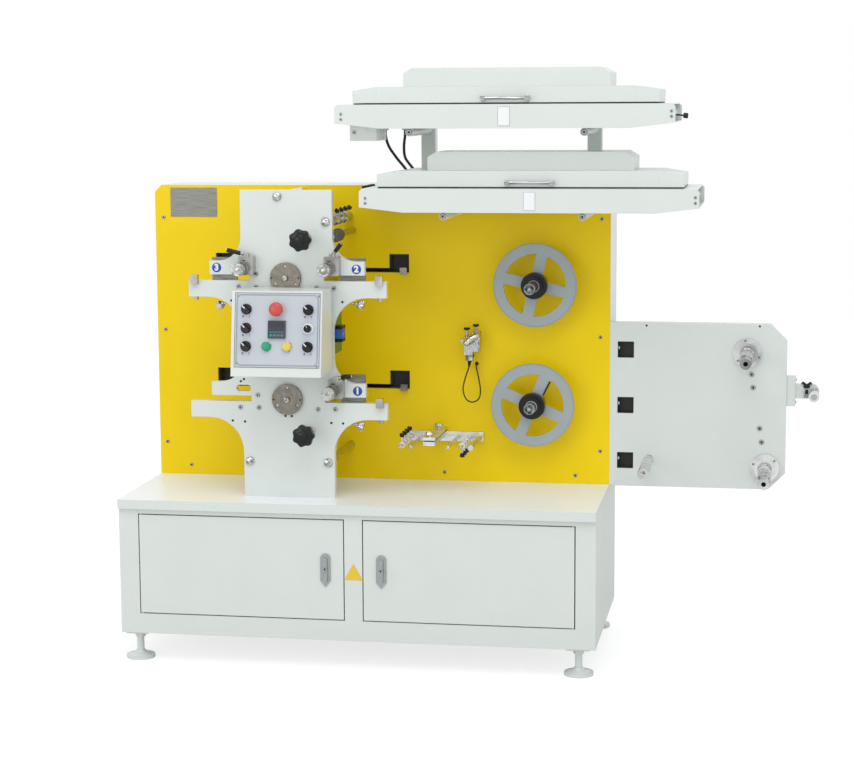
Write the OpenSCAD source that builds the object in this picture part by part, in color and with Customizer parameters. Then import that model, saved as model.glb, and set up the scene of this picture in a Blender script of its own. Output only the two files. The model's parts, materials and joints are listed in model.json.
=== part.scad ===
// Narrow-web flexographic printing press: a cabinet on levelling feet, an upright yellow panel
// with its machine housing, a white cross plate that carries the print units, two dryers
// above, two rewind reels and a side arm with two web spindles.
// X runs to the right along the cabinet, Y from front to back and Z up from the floor.

/* [Cabinet] */
// Length of the cabinet and of the yellow panel
cabinet_w = 1330; // [1200:10:1500]
// Depth of the cabinet from its front face to its back
cabinet_d = 616; // [580:2:700]
// Height of the cabinet body without the table top
cabinet_h = 354; // [330:2:450]
// Clear height under the cabinet
foot_h = 80; // [70:1:110]
// Thickness of the cabinet walls
wall = 12; // [8:1:16]
// Thickness of the table top
table_t = 26; // [18:1:40]
// Reach of the table top past the front face
table_nose = 11; // [6:1:25]
// Diameter of a foot disc
foot_disc_d = 80; // [60:1:100]
// Diameter of a foot's threaded stem
foot_stem_d = 20; // [14:1:24]
// Distance of the left feet from the cabinet's left side
foot_inset_left = 41; // [34:1:60]
// Distance of the right feet from the cabinet's right side
foot_inset_right = 49; // [34:1:60]
// Distance of the feet from the front face and from the back
foot_inset_y = 42; // [40:1:60]

/* [Doors] */
// Thickness of a door
door_t = 20; // [18:1:24]
// Thickness of a door's front sheet
door_skin = 3; // [2:0.5:4]
// Width of the rim round a door's back
door_rim = 14; // [12:1:20]
// Gap round a door
door_gap = 3; // [3:0.5:4]
// Frame width under the doors
sill_h = 59; // [50:1:65]
// Frame width above the doors
head_h = 17; // [14:1:22]
// Frame width beside the outer door edges
stile_w = 58; // [50:1:64]
// Frame width between the doors
stile_mid = 56; // [50:1:64]
// Diameter of a door's hinge pin
hinge_pin_d = 4; // [3:0.5:5]
// Distance of the hinge pin from the door's front face and edge
hinge_inset = 4; // [4:0.5:5]
// Width of a door lock plate
lock_w = 28; // [22:1:34]
// Height of a door lock plate
lock_h = 93; // [80:1:110]

/* [Panel and housing] */
// Distance of the yellow panel from the cabinet's front face
panel_y = 407; // [395:1:430]
// Thickness of the yellow panel
panel_t = 5; // [3:1:8]
// Height of the yellow panel above the table
panel_h = 853; // [830:1:900]
// Corner cut at the panel's top left
panel_cut = 20; // [10:1:40]
// Depth of the recesses behind the panel's cut-outs
recess_depth = 60; // [30:1:90]
// Width of the nameplate
nameplate_w = 139; // [100:1:160]
// Height of the nameplate
nameplate_h = 84; // [60:1:100]

/* [Cross plate] */
// Distance of the cross plate from the cabinet's front face
plate_y = 97; // [85:1:110]
// Thickness of the cross plate
plate_t = 20; // [16:1:25]
// Position of the cross plate's middle along the cabinet
plate_x = 466; // [450:1:480]
// Width of the cross plate's column
column_w = 258; // [250:1:270]
// Height of the lower drum's axis above the table
lower_axis_h = 275; // [270:1:285]
// Distance between the two drum axes
axis_pitch = 337; // [332:1:345]
// Span of the short arms
short_arm_span = 437; // [420:1:450]
// Height of a short arm
short_arm_h = 38; // [34:1:42]
// Span of the long arms
long_arm_span = 558; // [540:1:580]
// Height of a long arm
long_arm_h = 46; // [42:1:50]
// Height of the slot between two arms
arm_slot_h = 16; // [14:1:18]
// Span left solid between the slots
slot_root_span = 210; // [200:1:220]
// Radius of the corners above the short arms
upper_fillet_r = 65; // [50:1:80]
// Radius of the corners below the long arms
lower_fillet_r = 96; // [80:1:105]
// Diameter of a tie rod
tie_rod_d = 25; // [20:1:30]
// Diameter of a drum bearing cover
cover_d = 86; // [78:1:94]
// Thickness of a drum bearing cover
cover_t = 10; // [6:1:14]
// Diameter of an impression drum
drum_d = 170; // [150:1:190]
// Diameter of the nip roller beside the column
nip_roller_d = 36; // [28:1:40]
// Diameter of a star knob
star_knob_d = 62; // [54:1:70]
// Distance of a star knob's front from the cross plate
star_knob_reach = 96; // [80:1:100]

/* [Control box] */
// Width of the control box
box_w = 250; // [240:1:256]
// Height of the control box's slanted face
box_h = 232; // [225:1:240]
// Depth of the control box at its top
box_top_d = 108; // [100:1:120]
// Depth of the control box at its bottom
box_bottom_d = 143; // [130:1:155]
// Gap between the cross plate and the control box's back
box_standoff = 17; // [17:1:20]
// Height of the control box's lower edge above the table
box_lift = 358; // [354:1:362]
// Thickness of the metal control panel
control_sheet_t = 1.5; // [1:0.5:3]
// Diameter of the emergency stop's head
stop_head_d = 38; // [32:1:42]
// Diameter of a push button's bezel
button_d = 29; // [24:1:32]
// Side of the temperature controller
controller_side = 48; // [44:1:52]

/* [Print units] */
// Diameter of an adjuster's screw stack
adjuster_d = 36; // [30:1:40]
// Width of an adjuster's clamp block
clamp_w = 41; // [36:1:44]
// Height of an adjuster's clamp block
clamp_h = 52; // [46:1:56]
// Depth of an adjuster's clamp block
clamp_d = 34; // [28:1:40]
// Thickness of the slide plates behind the arms
slide_t = 8; // [6:1:12]

/* [Rewind reels] */
// Outer diameter of a reel
reel_d = 237; // [220:1:250]
// Width of a reel's rim
reel_rim = 30; // [24:1:36]
// Thickness of a reel
reel_t = 8; // [5:1:12]
// Width of a reel's spoke
reel_spoke_w = 31; // [24:1:36]
// Diameter of a reel's black hub
reel_hub_d = 74; // [64:1:84]
// Diameter of a reel's shaft in front of its hub
reel_shaft_d = 30; // [24:1:34]
// Diameter of a reel's shaft in its hub and bearing
reel_journal_d = 34; // [30:1:40]
// Distance of a reel's front from the yellow panel
reel_standoff = 66; // [56:1:80]
// Distance of the upper shaft's tip from the yellow panel
upper_shaft_reach = 197; // [150:1:220]
// Distance of the lower shaft's tip from the yellow panel
lower_shaft_reach = 147; // [130:1:200]
// Height of the upper reel's axis above the table
upper_reel_h = 576; // [560:1:590]
// Height of the lower reel's axis above the table
lower_reel_h = 235; // [225:1:245]
// Radial clearance of a turning shaft in its bearing
running_gap = 0.05; // [0.03:0.01:0.08]

/* [Side arm] */
// Length of the side arm
arm_w = 496; // [460:2:540]
// Height of the side arm
arm_h = 469; // [450:1:480]
// Thickness of the side arm
arm_t = 40; // [30:1:50]
// Corner cut at the arm's right corners
arm_cut = 47; // [30:1:60]
// Side of a square pocket
pocket = 46; // [40:1:50]
// Depth of a pocket
pocket_depth = 32; // [20:1:36]
// Diameter of a spindle's flange
flange_d = 80; // [72:1:90]
// Diameter of a spindle's collar
collar_d = 58; // [50:1:62]
// Diameter of a spindle's seat for a web core
seat_d = 36; // [34:1:44]
// Distance of a spindle's tip from the side arm
spindle_reach = 262; // [220:2:280]
// Diameter of the idler roller
idler_d = 29; // [24:1:32]
// Distance of the idler roller's end from the side arm
idler_reach = 258; // [220:2:270]
// Length of the rail at the arm's right end
rail_reach = 90; // [70:1:100]

/* [Dryers] */
// Length of a dryer tray
tray_w = 914; // [880:2:940]
// Depth of a dryer tray from front to back
tray_d = 330; // [310:1:336]
// Height of a dryer tray
tray_h = 64; // [56:1:70]
// Thickness of a dryer's sheets
tray_skin = 3; // [2:0.5:4]
// Gap between the trays' back and the yellow panel
tray_gap = 12; // [8:1:16]
// Position of the upper tray's left end
upper_tray_x = 612; // [600:1:625]
// Position of the lower tray's left end
lower_tray_x = 677; // [665:1:690]
// Height of the lower tray's top above the table
lower_tray_top = 858; // [850:1:866]
// Distance between the two trays' tops
tray_pitch = 225; // [220:1:240]
// Length of a dryer lid
lid_w = 828; // [800:2:840]
// Height of a dryer lid
lid_h = 43; // [36:1:48]
// Distance of a lid's front from the tray's front
lid_inset = 38; // [30:1:45]
// Length of a lamp housing
lamp_w = 562; // [520:2:600]
// Height of a lamp housing
lamp_h = 50; // [40:1:54]
// Distance of a lamp housing's front from the tray's front
lamp_inset = 74; // [60:1:80]
// Gap between a tray and its lid
lid_gap = 4; // [3:0.5:5]
// Width of a dryer post
post_w = 40; // [34:1:46]
// Diameter of the rods that carry the dryers
carrier_d = 22; // [18:1:26]

/* [Hidden] */

// Colours
pale_paint = [0.87, 0.89, 0.87];
yellow_paint = [0.91, 0.80, 0.20];
steel = [0.70, 0.71, 0.72];
dark_steel = [0.45, 0.46, 0.47];
black_plastic = [0.08, 0.08, 0.08];
reel_grey = [0.64, 0.68, 0.70];

// Levels and places worked out from the sizes
table_under = foot_h + cabinet_h;
table_z = table_under + table_t;
panel_top = table_z + panel_h;
panel_back = panel_y + panel_t;
plate_back = plate_y + plate_t;
lower_axis = table_z + lower_axis_h;
upper_axis = lower_axis + axis_pitch;
lid_d = tray_d - 2 * lid_inset;
lamp_d = tray_d - 2 * lamp_inset;
box_tilt = atan((box_bottom_d - box_top_d) / box_h);
box_back = plate_y - box_standoff;
arm_right = cabinet_w + arm_w;
arm_z = table_z - 2;
stop_proud = 30;
row_top = 182;
row_mid = 131;
row_low = 82;
selector_h = 17;
selector_grip = 10;
selector_side = (selector_grip / 2 + button_d * 0.42) * sin(45);

// The origin lies in the middle of the press's footprint, on the floor
press_right = arm_right + rail_reach;
press_front = box_back - box_bottom_d + (row_low - selector_side) * sin(box_tilt)
    - (control_sheet_t + selector_h) * cos(box_tilt);
mid_x = press_right / 2;
mid_y = (press_front + cabinet_d) / 2;

module in_place() {
    translate([-mid_x, -mid_y, 0])
        children();
}

// A rod along Y from y0 to y1
module rod(x, y0, y1, z, d) {
    translate([x, y1, z])
        rotate([90, 0, 0])
            cylinder(d = d, h = y1 - y0, $fn = 48);
}

// A block given by its lowest and highest corners
module block(low, high) {
    translate(low)
        cube(high - low);
}

// A flat outline in X and Z given a thickness along Y
module upright(y0, y1) {
    translate([0, y1, 0])
        rotate([90, 0, 0])
            linear_extrude(y1 - y0)
                children();
}

// Cabinet

door_w = (cabinet_w - 2 * stile_w - stile_mid) / 2;
door_h = cabinet_h - sill_h - head_h;
door_z = foot_h + sill_h;
left_door_x = stile_w;
right_door_x = cabinet_w - stile_w - door_w;

// Floor, sides and back of the cabinet, open at the top and at the front
module cabinet_shell() {
    color(pale_paint) in_place()
        difference() {
            block([0, wall, foot_h], [cabinet_w, cabinet_d, table_under]);
            block([wall, wall - 1, foot_h + wall],
                  [cabinet_w - wall, cabinet_d - wall, table_under + 1]);
        }
}

module door_opening(x) {
    block([x - door_gap, -1, door_z - door_gap],
          [x + door_w + door_gap, wall + 1, door_z + door_h + door_gap]);
}

// The pins reach from the frame into the door's top and bottom edges
pin_reach = 8;

module hinge_pins(x) {
    for (z = [door_z - door_gap, door_z + door_h - pin_reach])
        translate([x, hinge_inset, z])
            cylinder(d = hinge_pin_d, h = door_gap + pin_reach, $fn = 24);
}

module cabinet_front() {
    color(pale_paint) in_place() {
        difference() {
            block([0, 0, foot_h], [cabinet_w, wall, table_under]);
            door_opening(left_door_x);
            door_opening(right_door_x);
        }
        hinge_pins(left_door_x + hinge_inset);
        hinge_pins(right_door_x + door_w - hinge_inset);
    }
}

module table_top() {
    color(pale_paint) in_place()
        block([0, -table_nose, table_under], [cabinet_w, cabinet_d, table_z]);
}

// Feet: a pad under the cabinet, a nut, a threaded stem and a broad disc

pad_side = 62;
pad_t = 6;
nut_d = 30;
nut_h = 14;
disc_t = 9;
boss_h = 12;

module foot() {
    cylinder(d = foot_disc_d, h = disc_t, $fn = 64);
    translate([0, 0, disc_t])
        rotate_extrude($fn = 64)
            polygon([[0, 0], [foot_disc_d / 2 - 6, 0], [foot_stem_d / 2 + 6, boss_h * 0.6],
                     [foot_stem_d / 2 + 3, boss_h], [0, boss_h]]);
    cylinder(d = foot_stem_d, h = foot_h, $fn = 32);
    translate([0, 0, foot_h - pad_t - nut_h])
        cylinder(d = nut_d, h = nut_h, $fn = 6);
    translate([-pad_side / 2, -pad_side / 2, foot_h - pad_t])
        cube([pad_side, pad_side, pad_t]);
}

module levelling_feet() {
    color(pale_paint) in_place()
        for (x = [foot_inset_left, cabinet_w - foot_inset_right])
            for (y = [foot_inset_y, cabinet_d - foot_inset_y])
                translate([x, y, 0])
                    foot();
}

// Doors: a folded pan with a rim round its back

module door(x, hinge_x) {
    difference() {
        block([x, 0, door_z], [x + door_w, door_t, door_z + door_h]);
        block([x + door_rim, door_skin, door_z + door_rim],
              [x + door_w - door_rim, door_t + 1, door_z + door_h - door_rim]);
        for (z = [door_z - 1, door_z + door_h - pin_reach - 0.3])
            translate([hinge_x, hinge_inset, z])
                cylinder(r = hinge_pin_d / 2 + running_gap, h = pin_reach + 1.3, $fn = 24);
    }
}

module left_door() {
    color(pale_paint) in_place()
        door(left_door_x, left_door_x + hinge_inset);
}

module right_door() {
    color(pale_paint) in_place()
        door(right_door_x, right_door_x + door_w - hinge_inset);
}

// Lock plates: round above, pointed below, with a raised pull and a key barrel

lock_edge = 36;
lock_t = 4;
lock_drop = 186;

module lock_outline() {
    translate([0, lock_h - lock_w / 2])
        circle(d = lock_w, $fn = 48);
    polygon([[-lock_w / 2, lock_h - lock_w / 2], [-lock_w / 2, lock_w * 0.6],
             [0, 0], [lock_w / 2, lock_w * 0.6], [lock_w / 2, lock_h - lock_w / 2]]);
}

module door_lock(x) {
    pull_w = lock_w * 0.45;
    translate([x, 0, door_z + door_h - lock_drop]) {
        upright(-lock_t, 0)
            lock_outline();
        block([-pull_w / 2, -lock_t - 5, lock_h * 0.18], [pull_w / 2, -lock_t, lock_h * 0.86]);
        rod(0, -lock_t - 8, -lock_t - 5, lock_h * 0.55, pull_w * 0.9);
    }
}

module left_door_lock() {
    color(steel) in_place()
        door_lock(left_door_x + door_w - lock_edge - lock_w / 2);
}

module right_door_lock() {
    color(steel) in_place()
        door_lock(right_door_x + lock_edge + lock_w / 2);
}

// Panel and housing

cut_w = 58;
cut_h = 53;
cut_far = 286;
cut_rise = 9;
web_slot_h = 13;

module panel_outline() {
    polygon([[0, table_z], [cabinet_w, table_z], [cabinet_w, panel_top],
             [panel_cut, panel_top], [0, panel_top - panel_cut]]);
}

// One cut-out beside a drum: a square window with a slot that leads towards the drum
module cut_out(axis, side) {
    translate([plate_x, axis])
        mirror([side, 0])
            translate([0, -cut_rise]) {
                translate([cut_far - cut_w, 0])
                    square([cut_w, cut_h]);
                translate([column_w / 2, 0])
                    square([cut_far - cut_w - column_w / 2 + 1, web_slot_h]);
            }
}

module cut_outs() {
    for (axis = [lower_axis, upper_axis])
        for (side = [0, 1])
            cut_out(axis, side);
}

module yellow_panel() {
    color(yellow_paint) in_place()
        upright(panel_y, panel_back)
            difference() {
                panel_outline();
                cut_outs();
            }
}

// Places on the housing's top where the dryer cables go in
cable_entries = [[742, 484], [768, 484]];
entry_d = 18;
entry_h = 10;

module housing() {
    color(pale_paint) in_place() {
        difference() {
            upright(panel_back, cabinet_d)
                panel_outline();
            upright(panel_back - 1, panel_back + recess_depth)
                cut_outs();
        }
        for (entry = cable_entries)
            translate([entry[0], entry[1], panel_top - 1])
                cylinder(d = entry_d, h = entry_h + 1, $fn = 32);
    }
}

nameplate_t = 1.5;
nameplate_x = 47;
nameplate_drop = 8;

module nameplate() {
    color(steel) in_place()
        block([nameplate_x, panel_y - nameplate_t, panel_top - nameplate_drop - nameplate_h],
              [nameplate_x + nameplate_w, panel_y, panel_top - nameplate_drop]);
}

// Cross plate: a column with a short and a long arm on each side of both drum axes

short_arm_z = arm_slot_h / 2;
arm_fillet_steps = 10;

// Points of a quarter circle about a centre, from one angle to another
function arc(centre, r, from, to, steps) =
    [for (i = [0 : steps]) centre + r * [cos(from + (to - from) * i / steps),
                                         sin(from + (to - from) * i / steps)]];

// One right-hand pair of arms about a drum axis, as points from the lower arm upwards
function arm_pair() = concat(
    arc([column_w / 2 + lower_fillet_r, -short_arm_z - long_arm_h - lower_fillet_r],
        lower_fillet_r, 180, 90, arm_fillet_steps),
    [[long_arm_span / 2, -short_arm_z - long_arm_h], [long_arm_span / 2, -short_arm_z],
     [slot_root_span / 2, -short_arm_z], [slot_root_span / 2, short_arm_z],
     [short_arm_span / 2, short_arm_z], [short_arm_span / 2, short_arm_z + short_arm_h]],
    arc([column_w / 2 + upper_fillet_r, short_arm_z + short_arm_h + upper_fillet_r],
        upper_fillet_r, 270, 180, arm_fillet_steps));

function mirrored(points) =
    [for (i = [len(points) - 1 : -1 : 0]) [-points[i][0], points[i][1]]];

module arms(axis) {
    translate([plate_x, axis])
        polygon(concat(arm_pair(), mirrored(arm_pair())));
}

// Slotted hole in the lower left short arm
slot_hole_x = 127;
slot_hole_rise = 29;
slot_hole_w = 42;
slot_hole_h = 18;

module cross_outline() {
    difference() {
        union() {
            translate([plate_x - column_w / 2, table_z])
                square([column_w, panel_top - table_z]);
            arms(lower_axis);
            arms(upper_axis);
        }
        for (axis = [lower_axis, upper_axis])
            for (side = [-1, 1])
                translate([plate_x + side * (slot_root_span + column_w) / 4, axis])
                    square([(column_w - slot_root_span) / 2, arm_slot_h], center = true);
        translate([plate_x - slot_hole_x, lower_axis + slot_hole_rise]) {
            square([slot_hole_w - slot_hole_h, slot_hole_h], center = true);
            for (side = [-1, 1])
                translate([side * (slot_hole_w - slot_hole_h) / 2, 0])
                    circle(d = slot_hole_h, $fn = 32);
        }
    }
}

module cross_plate() {
    color(pale_paint) in_place()
        upright(plate_y, plate_back)
            cross_outline();
}

// Tie rods between the cross plate and the panel, with domed caps in front
tie_places = [[442, 835], [577, 766], [354, 99], [577, 99]];
cap_d = 25;
cap_t = 9;

// Collars with thumb screws hold the web's edges on a rod
collar_t = 8;
collar_outer_d = 34;
thumb_d = 11;
thumb_h = 10;
thumb_stem = 18;

module thumb_collar(x, y, z, rod_d) {
    rod(x, y, y + collar_t, z, collar_outer_d);
    translate([x, y + collar_t / 2, z + rod_d / 2]) {
        cylinder(d = 5, h = thumb_stem + 2, $fn = 20);
        translate([0, 0, thumb_stem])
            cylinder(d = thumb_d, h = thumb_h, $fn = 24);
    }
}

guide_rod_x = 656;
guide_rod_h = 822;
guide_rod_d = 18;
guide_rod_reach = 177;
tie_collar_first = 33;
tie_collar_pitch = 55;
guide_collar_first = 10;
guide_collar_pitch = 40;

module tie_rods() {
    color(steel) in_place()
        translate([0, 0, table_z]) {
            for (place = tie_places) {
                rod(place[0], plate_back, panel_y, place[1], tie_rod_d);
                translate([place[0], plate_y, place[1]])
                    rotate([90, 0, 0])
                        rotate_extrude($fn = 40)
                            polygon(concat([[0, 0]], [for (a = [0 : 15 : 90])
                                [cap_d / 2 * cos(a), cap_t * 0.35 + cap_t * 0.65 * sin(a)]]));
            }
            for (i = [0 : 3])
                thumb_collar(tie_places[1][0], plate_back + tie_collar_first + tie_collar_pitch * i,
                             tie_places[1][1], tie_rod_d);
            rod(guide_rod_x, panel_y - guide_rod_reach, panel_y, guide_rod_h, guide_rod_d);
            for (i = [0 : 3])
                thumb_collar(guide_rod_x, panel_y - guide_rod_reach + guide_collar_first
                             + guide_collar_pitch * i, guide_rod_h, guide_rod_d);
        }
}

nip_x = 589;
nip_h = 724;

// The two drums with their journals, and the nip roller beside the column
module impression_drums() {
    color(steel) in_place() {
        for (axis = [lower_axis, upper_axis]) {
            rod(plate_x - 2, plate_back + 15, panel_y - 15, axis, drum_d);
            rod(plate_x - 2, plate_back, panel_y, axis, 40);
        }
        rod(nip_x, plate_back, panel_y, table_z + nip_h, nip_roller_d);
    }
}

// Bearing covers with three screws and a domed centre bolt
module bearing_covers() {
    color(steel) in_place()
        for (axis = [lower_axis, upper_axis])
            translate([plate_x - 2, 0, axis]) {
                difference() {
                    rod(0, plate_y - cover_t, plate_y, 0, cover_d);
                    for (a = [90, 210, 330])
                        rod(cover_d * 0.38 * cos(a), plate_y - cover_t - 1, plate_y - cover_t + 5,
                            cover_d * 0.38 * sin(a), 9);
                }
                rod(0, plate_y - cover_t - 5, plate_y - cover_t, 0, 15);
            }
}

// Star knobs: seven lobes on a hub, carried by a stem through a locking collar
star_places = [[524, 721], [526, 186]];
star_t = 26;
lobes = 7;

module star_knob() {
    lobe_r = star_knob_d * 0.13;
    ring_r = star_knob_d / 2 - lobe_r;
    linear_extrude(star_t)
        difference() {
            circle(r = ring_r + lobe_r * 0.6, $fn = 48);
            for (i = [0 : lobes - 1])
                rotate(i * 360 / lobes)
                    translate([star_knob_d / 2 + lobe_r * 0.35, 0])
                        circle(r = lobe_r, $fn = 24);
        }
    translate([0, 0, star_t])
        cylinder(d = star_knob_d * 0.45, h = 5, $fn = 40);
}

module star_knobs() {
    color(black_plastic) in_place()
        for (place = star_places)
            translate([place[0], 0, table_z + place[1]]) {
                translate([0, plate_y - star_knob_reach + star_t + 5, 0])
                    rotate([90, 0, 0])
                        star_knob();
                rod(0, plate_y - star_knob_reach + star_t + 5, plate_y, 0, 16);
                rod(0, plate_y - 14, plate_y, 0, 30);
            }
}

// Control box: a closed housing whose face leans back towards the top

box_x = plate_x - box_w / 2 + 4;
box_z = table_z + box_lift;

spacer_d = 22;
spacer_inset = 26;

// The housing, with four spacers that hold it off the cross plate
module control_box() {
    color(pale_paint) in_place()
        translate([box_x, box_back, box_z]) {
            rotate([90, 0, 90])
                linear_extrude(box_w)
                    polygon([[0, 0], [-box_bottom_d, 0],
                             [-box_bottom_d + box_h * sin(box_tilt), box_h * cos(box_tilt)],
                             [0, box_h * cos(box_tilt)]]);
            for (u = [spacer_inset, box_w - spacer_inset])
                for (v = [spacer_inset, box_h - spacer_inset])
                    rod(u, 0, box_standoff, v, spacer_d);
        }
}

// Places children on the slanted face, measured from its lower left corner
module on_face(u, v) {
    translate([box_x, box_back - box_bottom_d, box_z])
        rotate([90 - box_tilt, 0, 0])
            translate([u, v, 0])
                children();
}

face_mid = box_w / 2 + 2;
sheet_w = 236;
sheet_h = 202;
sheet_v = 25;

module control_panel() {
    color(steel) in_place()
        on_face(face_mid - sheet_w / 2, sheet_v)
            cube([sheet_w, sheet_h, control_sheet_t]);
}

// A turned control given as bands of [height, diameter]
module turned(bands, i = 0, z = 0) {
    if (i < len(bands)) {
        translate([0, 0, z])
            cylinder(d = bands[i][1], h = bands[i][0], $fn = 40);
        turned(bands, i + 1, z + bands[i][0]);
    }
}

column_pitch = 85.5;

module emergency_stop() {
    color("tomato") in_place()
        on_face(face_mid, row_top)
            translate([0, 0, control_sheet_t])
                turned([[3, 30], [11, 24], [8, stop_head_d], [stop_proud - 22 - control_sheet_t, 30]]);
}

module push_buttons() {
    color("seagreen") in_place()
        for (side = [-1, 1])
            on_face(face_mid + side * 28.5, row_low)
                translate([0, 0, control_sheet_t])
                    turned([[4, button_d], [6, button_d - 7]]);
}

module selector() {
    turned([[4, button_d], [2, button_d - 5]]);
    translate([0, 0, 6])
        rotate(45)
            translate([-selector_grip / 2, -button_d * 0.42, 0])
                cube([selector_grip, button_d * 0.84, selector_h - 6]);
}

module selector_switches() {
    color(black_plastic) in_place() {
        for (v = [row_top, row_mid, row_low])
            on_face(face_mid - column_pitch, v)
                translate([0, 0, control_sheet_t])
                    selector();
        for (v = [row_top, row_low])
            on_face(face_mid + column_pitch, v)
                translate([0, 0, control_sheet_t])
                    selector();
        on_face(face_mid + column_pitch, row_mid)
            translate([0, 0, control_sheet_t])
                turned([[2, button_d], [12, button_d - 9]]);
    }
}

module temperature_controller() {
    color([0.2, 0.25, 0.3]) in_place()
        on_face(face_mid - controller_side / 2, row_mid - 3 - controller_side / 2)
            translate([0, 0, control_sheet_t])
                cube([controller_side, controller_side, 6]);
}

// Unit adjusters: a split clamp block on the plate with a stack of knurled screws

adjuster_x = 120;
adjuster_rise = 27;

clamp_slit = 3;
lever_hub_d = 18;
lever_hub_h = 8;
lever_d = 8;
// The screw stack's bands: start, end and how much narrower
adjuster_bands = [[0, 12, 0], [12, 18, 6], [18, 42, 0]];

// The clamp's slit is closed by a lever screw, whose lever leans by an angle from upright
module adjuster(lean, length) {
    x0 = -clamp_w * 0.2;
    pivot = [clamp_w * 0.35, plate_y - clamp_d / 2 - 8, clamp_h * 0.65];
    difference() {
        block([x0, plate_y - clamp_d, -clamp_h * 0.35], [x0 + clamp_w, plate_y, clamp_h * 0.65]);
        block([x0 - 1, plate_y - clamp_d - 1, clamp_h * 0.4],
              [x0 + clamp_w * 0.5, plate_y + 1, clamp_h * 0.4 + clamp_slit]);
    }
    for (band = adjuster_bands)
        rod(0, plate_y - clamp_d - band[1], plate_y - clamp_d - band[0], 0, adjuster_d - band[2]);
    translate(pivot) {
        cylinder(d = lever_hub_d, h = lever_hub_h, $fn = 32);
        translate([0, 0, lever_hub_h / 2])
            rotate([0, lean, 0]) {
                cylinder(d = lever_d, h = length, $fn = 20);
                translate([0, 0, length * 0.45])
                    cylinder(d = lever_d + 3, h = length * 0.55, $fn = 20);
            }
    }
}

module unit_adjusters() {
    color(steel) in_place() {
        translate([plate_x - adjuster_x, 0, upper_axis + adjuster_rise])
            adjuster(-77, 58);
        translate([plate_x + adjuster_x, 0, upper_axis + adjuster_rise])
            adjuster(38, 42);
        translate([plate_x + adjuster_x + 8, 0, lower_axis + adjuster_rise])
            adjuster(82, 44);
    }
}

// Latches at the long arms' ends, each with a screw under the arm, and at two panel cut-outs
latch_w = 20;
latch_h = 26;
latch_t = 14;
latch_x = 260;
latch_screw_d = 12;
latch_screw_h = 10;

module unit_latches() {
    latch_places = [[0, upper_axis], [1, upper_axis], [0, lower_axis]];
    color(steel) in_place() {
        for (place = latch_places)
            translate([plate_x, 0, place[1] - short_arm_z])
                mirror([place[0], 0, 0])
                    translate([latch_x, 0, 0]) {
                        block([-latch_w / 2, plate_y - latch_t, -latch_h * 0.4],
                              [latch_w / 2, plate_y, latch_h * 0.6]);
                        translate([0, plate_y + plate_t / 2, -long_arm_h - latch_screw_h])
                            cylinder(d = latch_screw_d, h = latch_screw_h, $fn = 28);
                    }
        for (axis = [lower_axis, upper_axis])
            translate([plate_x + cut_far - latch_w * 0.75, panel_y, axis - cut_rise])
                block([-latch_w / 2, -latch_t, -latch_w * 0.25], [latch_w / 2, 0, latch_w * 0.75]);
    }
}

// Slide plates behind the arms, which carry the print units
module slide_plates() {
    color(dark_steel) in_place() {
        for (side = [0, 1])
            translate([plate_x, 0, 0])
                mirror([side, 0, 0])
                    block([column_w / 2 + 16, plate_back, upper_axis - 10],
                          [short_arm_span / 2 - 2, plate_back + slide_t, upper_axis + 54]);
        block([plate_x + column_w / 2 + 16, plate_back, lower_axis - 10],
              [plate_x + short_arm_span / 2 - 4, plate_back + slide_t, lower_axis + 69]);
    }
}

// Relay board on an angle bracket behind the column
board_low = 396;
board_high = 512;
board_reach = 125;

module relay_board() {
    color("seagreen") in_place()
        translate([plate_x + column_w / 2 - 10, plate_back, table_z]) {
            block([0, 0, board_low], [3, board_reach, board_high]);
            block([3, 20, board_low + 36], [26, 62, board_low + 80]);
        }
}

// Rewind reels

upper_reel_x = 1123;
lower_reel_x = 1117;
bearing_d = 60;
bearing_h = 30;
bore_floor = 2;
shaft_gap = 0.5;

module reel_bearings() {
    color(steel) in_place()
        for (place = [[upper_reel_x, upper_reel_h], [lower_reel_x, lower_reel_h]])
            difference() {
                rod(place[0], panel_y - bearing_h, panel_y, table_z + place[1], bearing_d);
                rod(place[0], panel_y - bearing_h - 1, panel_y - bore_floor, table_z + place[1],
                    reel_journal_d + 2 * running_gap);
            }
}

// Hub in front of the flange, shoulder behind it, and the shaft's step in front of the hub
hub_t = 34;
hub_nose = 10;
shoulder_t = 22;
shoulder_d = 52;
step_proud = 2;

// A flange with four spokes, on its shaft
module reel(x, z, turn, reach) {
    front = panel_y - reel_standoff;
    translate([x, 0, table_z + z]) {
        upright(front, front + reel_t)
            rotate(-turn) {
                difference() {
                    circle(d = reel_d, $fn = 96);
                    circle(d = reel_d - 2 * reel_rim, $fn = 96);
                }
                for (a = [0, 90])
                    rotate(a)
                        square([reel_d - reel_rim, reel_spoke_w], center = true);
            }
        rod(0, front + reel_t, front + reel_t + shoulder_t, 0, shoulder_d);
        rod(0, panel_y - reach, front - hub_t, 0, reel_shaft_d);
        rod(0, front - hub_t - step_proud, panel_y - bore_floor - shaft_gap, 0, reel_journal_d);
    }
}

module reel_hub(x, z) {
    front = panel_y - reel_standoff;
    translate([x, 0, table_z + z])
        difference() {
            union() {
                rod(0, front - hub_t + hub_nose, front, 0, reel_hub_d);
                rod(0, front - hub_t, front - hub_t + hub_nose, 0, reel_hub_d * 0.7);
            }
            rod(0, front - hub_t - 1, front + 1, 0, reel_journal_d);
        }
}

module upper_reel() {
    color(reel_grey) in_place()
        reel(upper_reel_x, upper_reel_h, 13, upper_shaft_reach);
}

module upper_reel_hub() {
    color(black_plastic) in_place()
        reel_hub(upper_reel_x, upper_reel_h);
}

module lower_reel() {
    color(reel_grey) in_place()
        reel(lower_reel_x, lower_reel_h, 23, lower_shaft_reach);
}

module lower_reel_hub() {
    color(black_plastic) in_place()
        reel_hub(lower_reel_x, lower_reel_h);
}

// Sensor for the web's edge: a slotted barrel head on a block fixed to the panel

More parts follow.
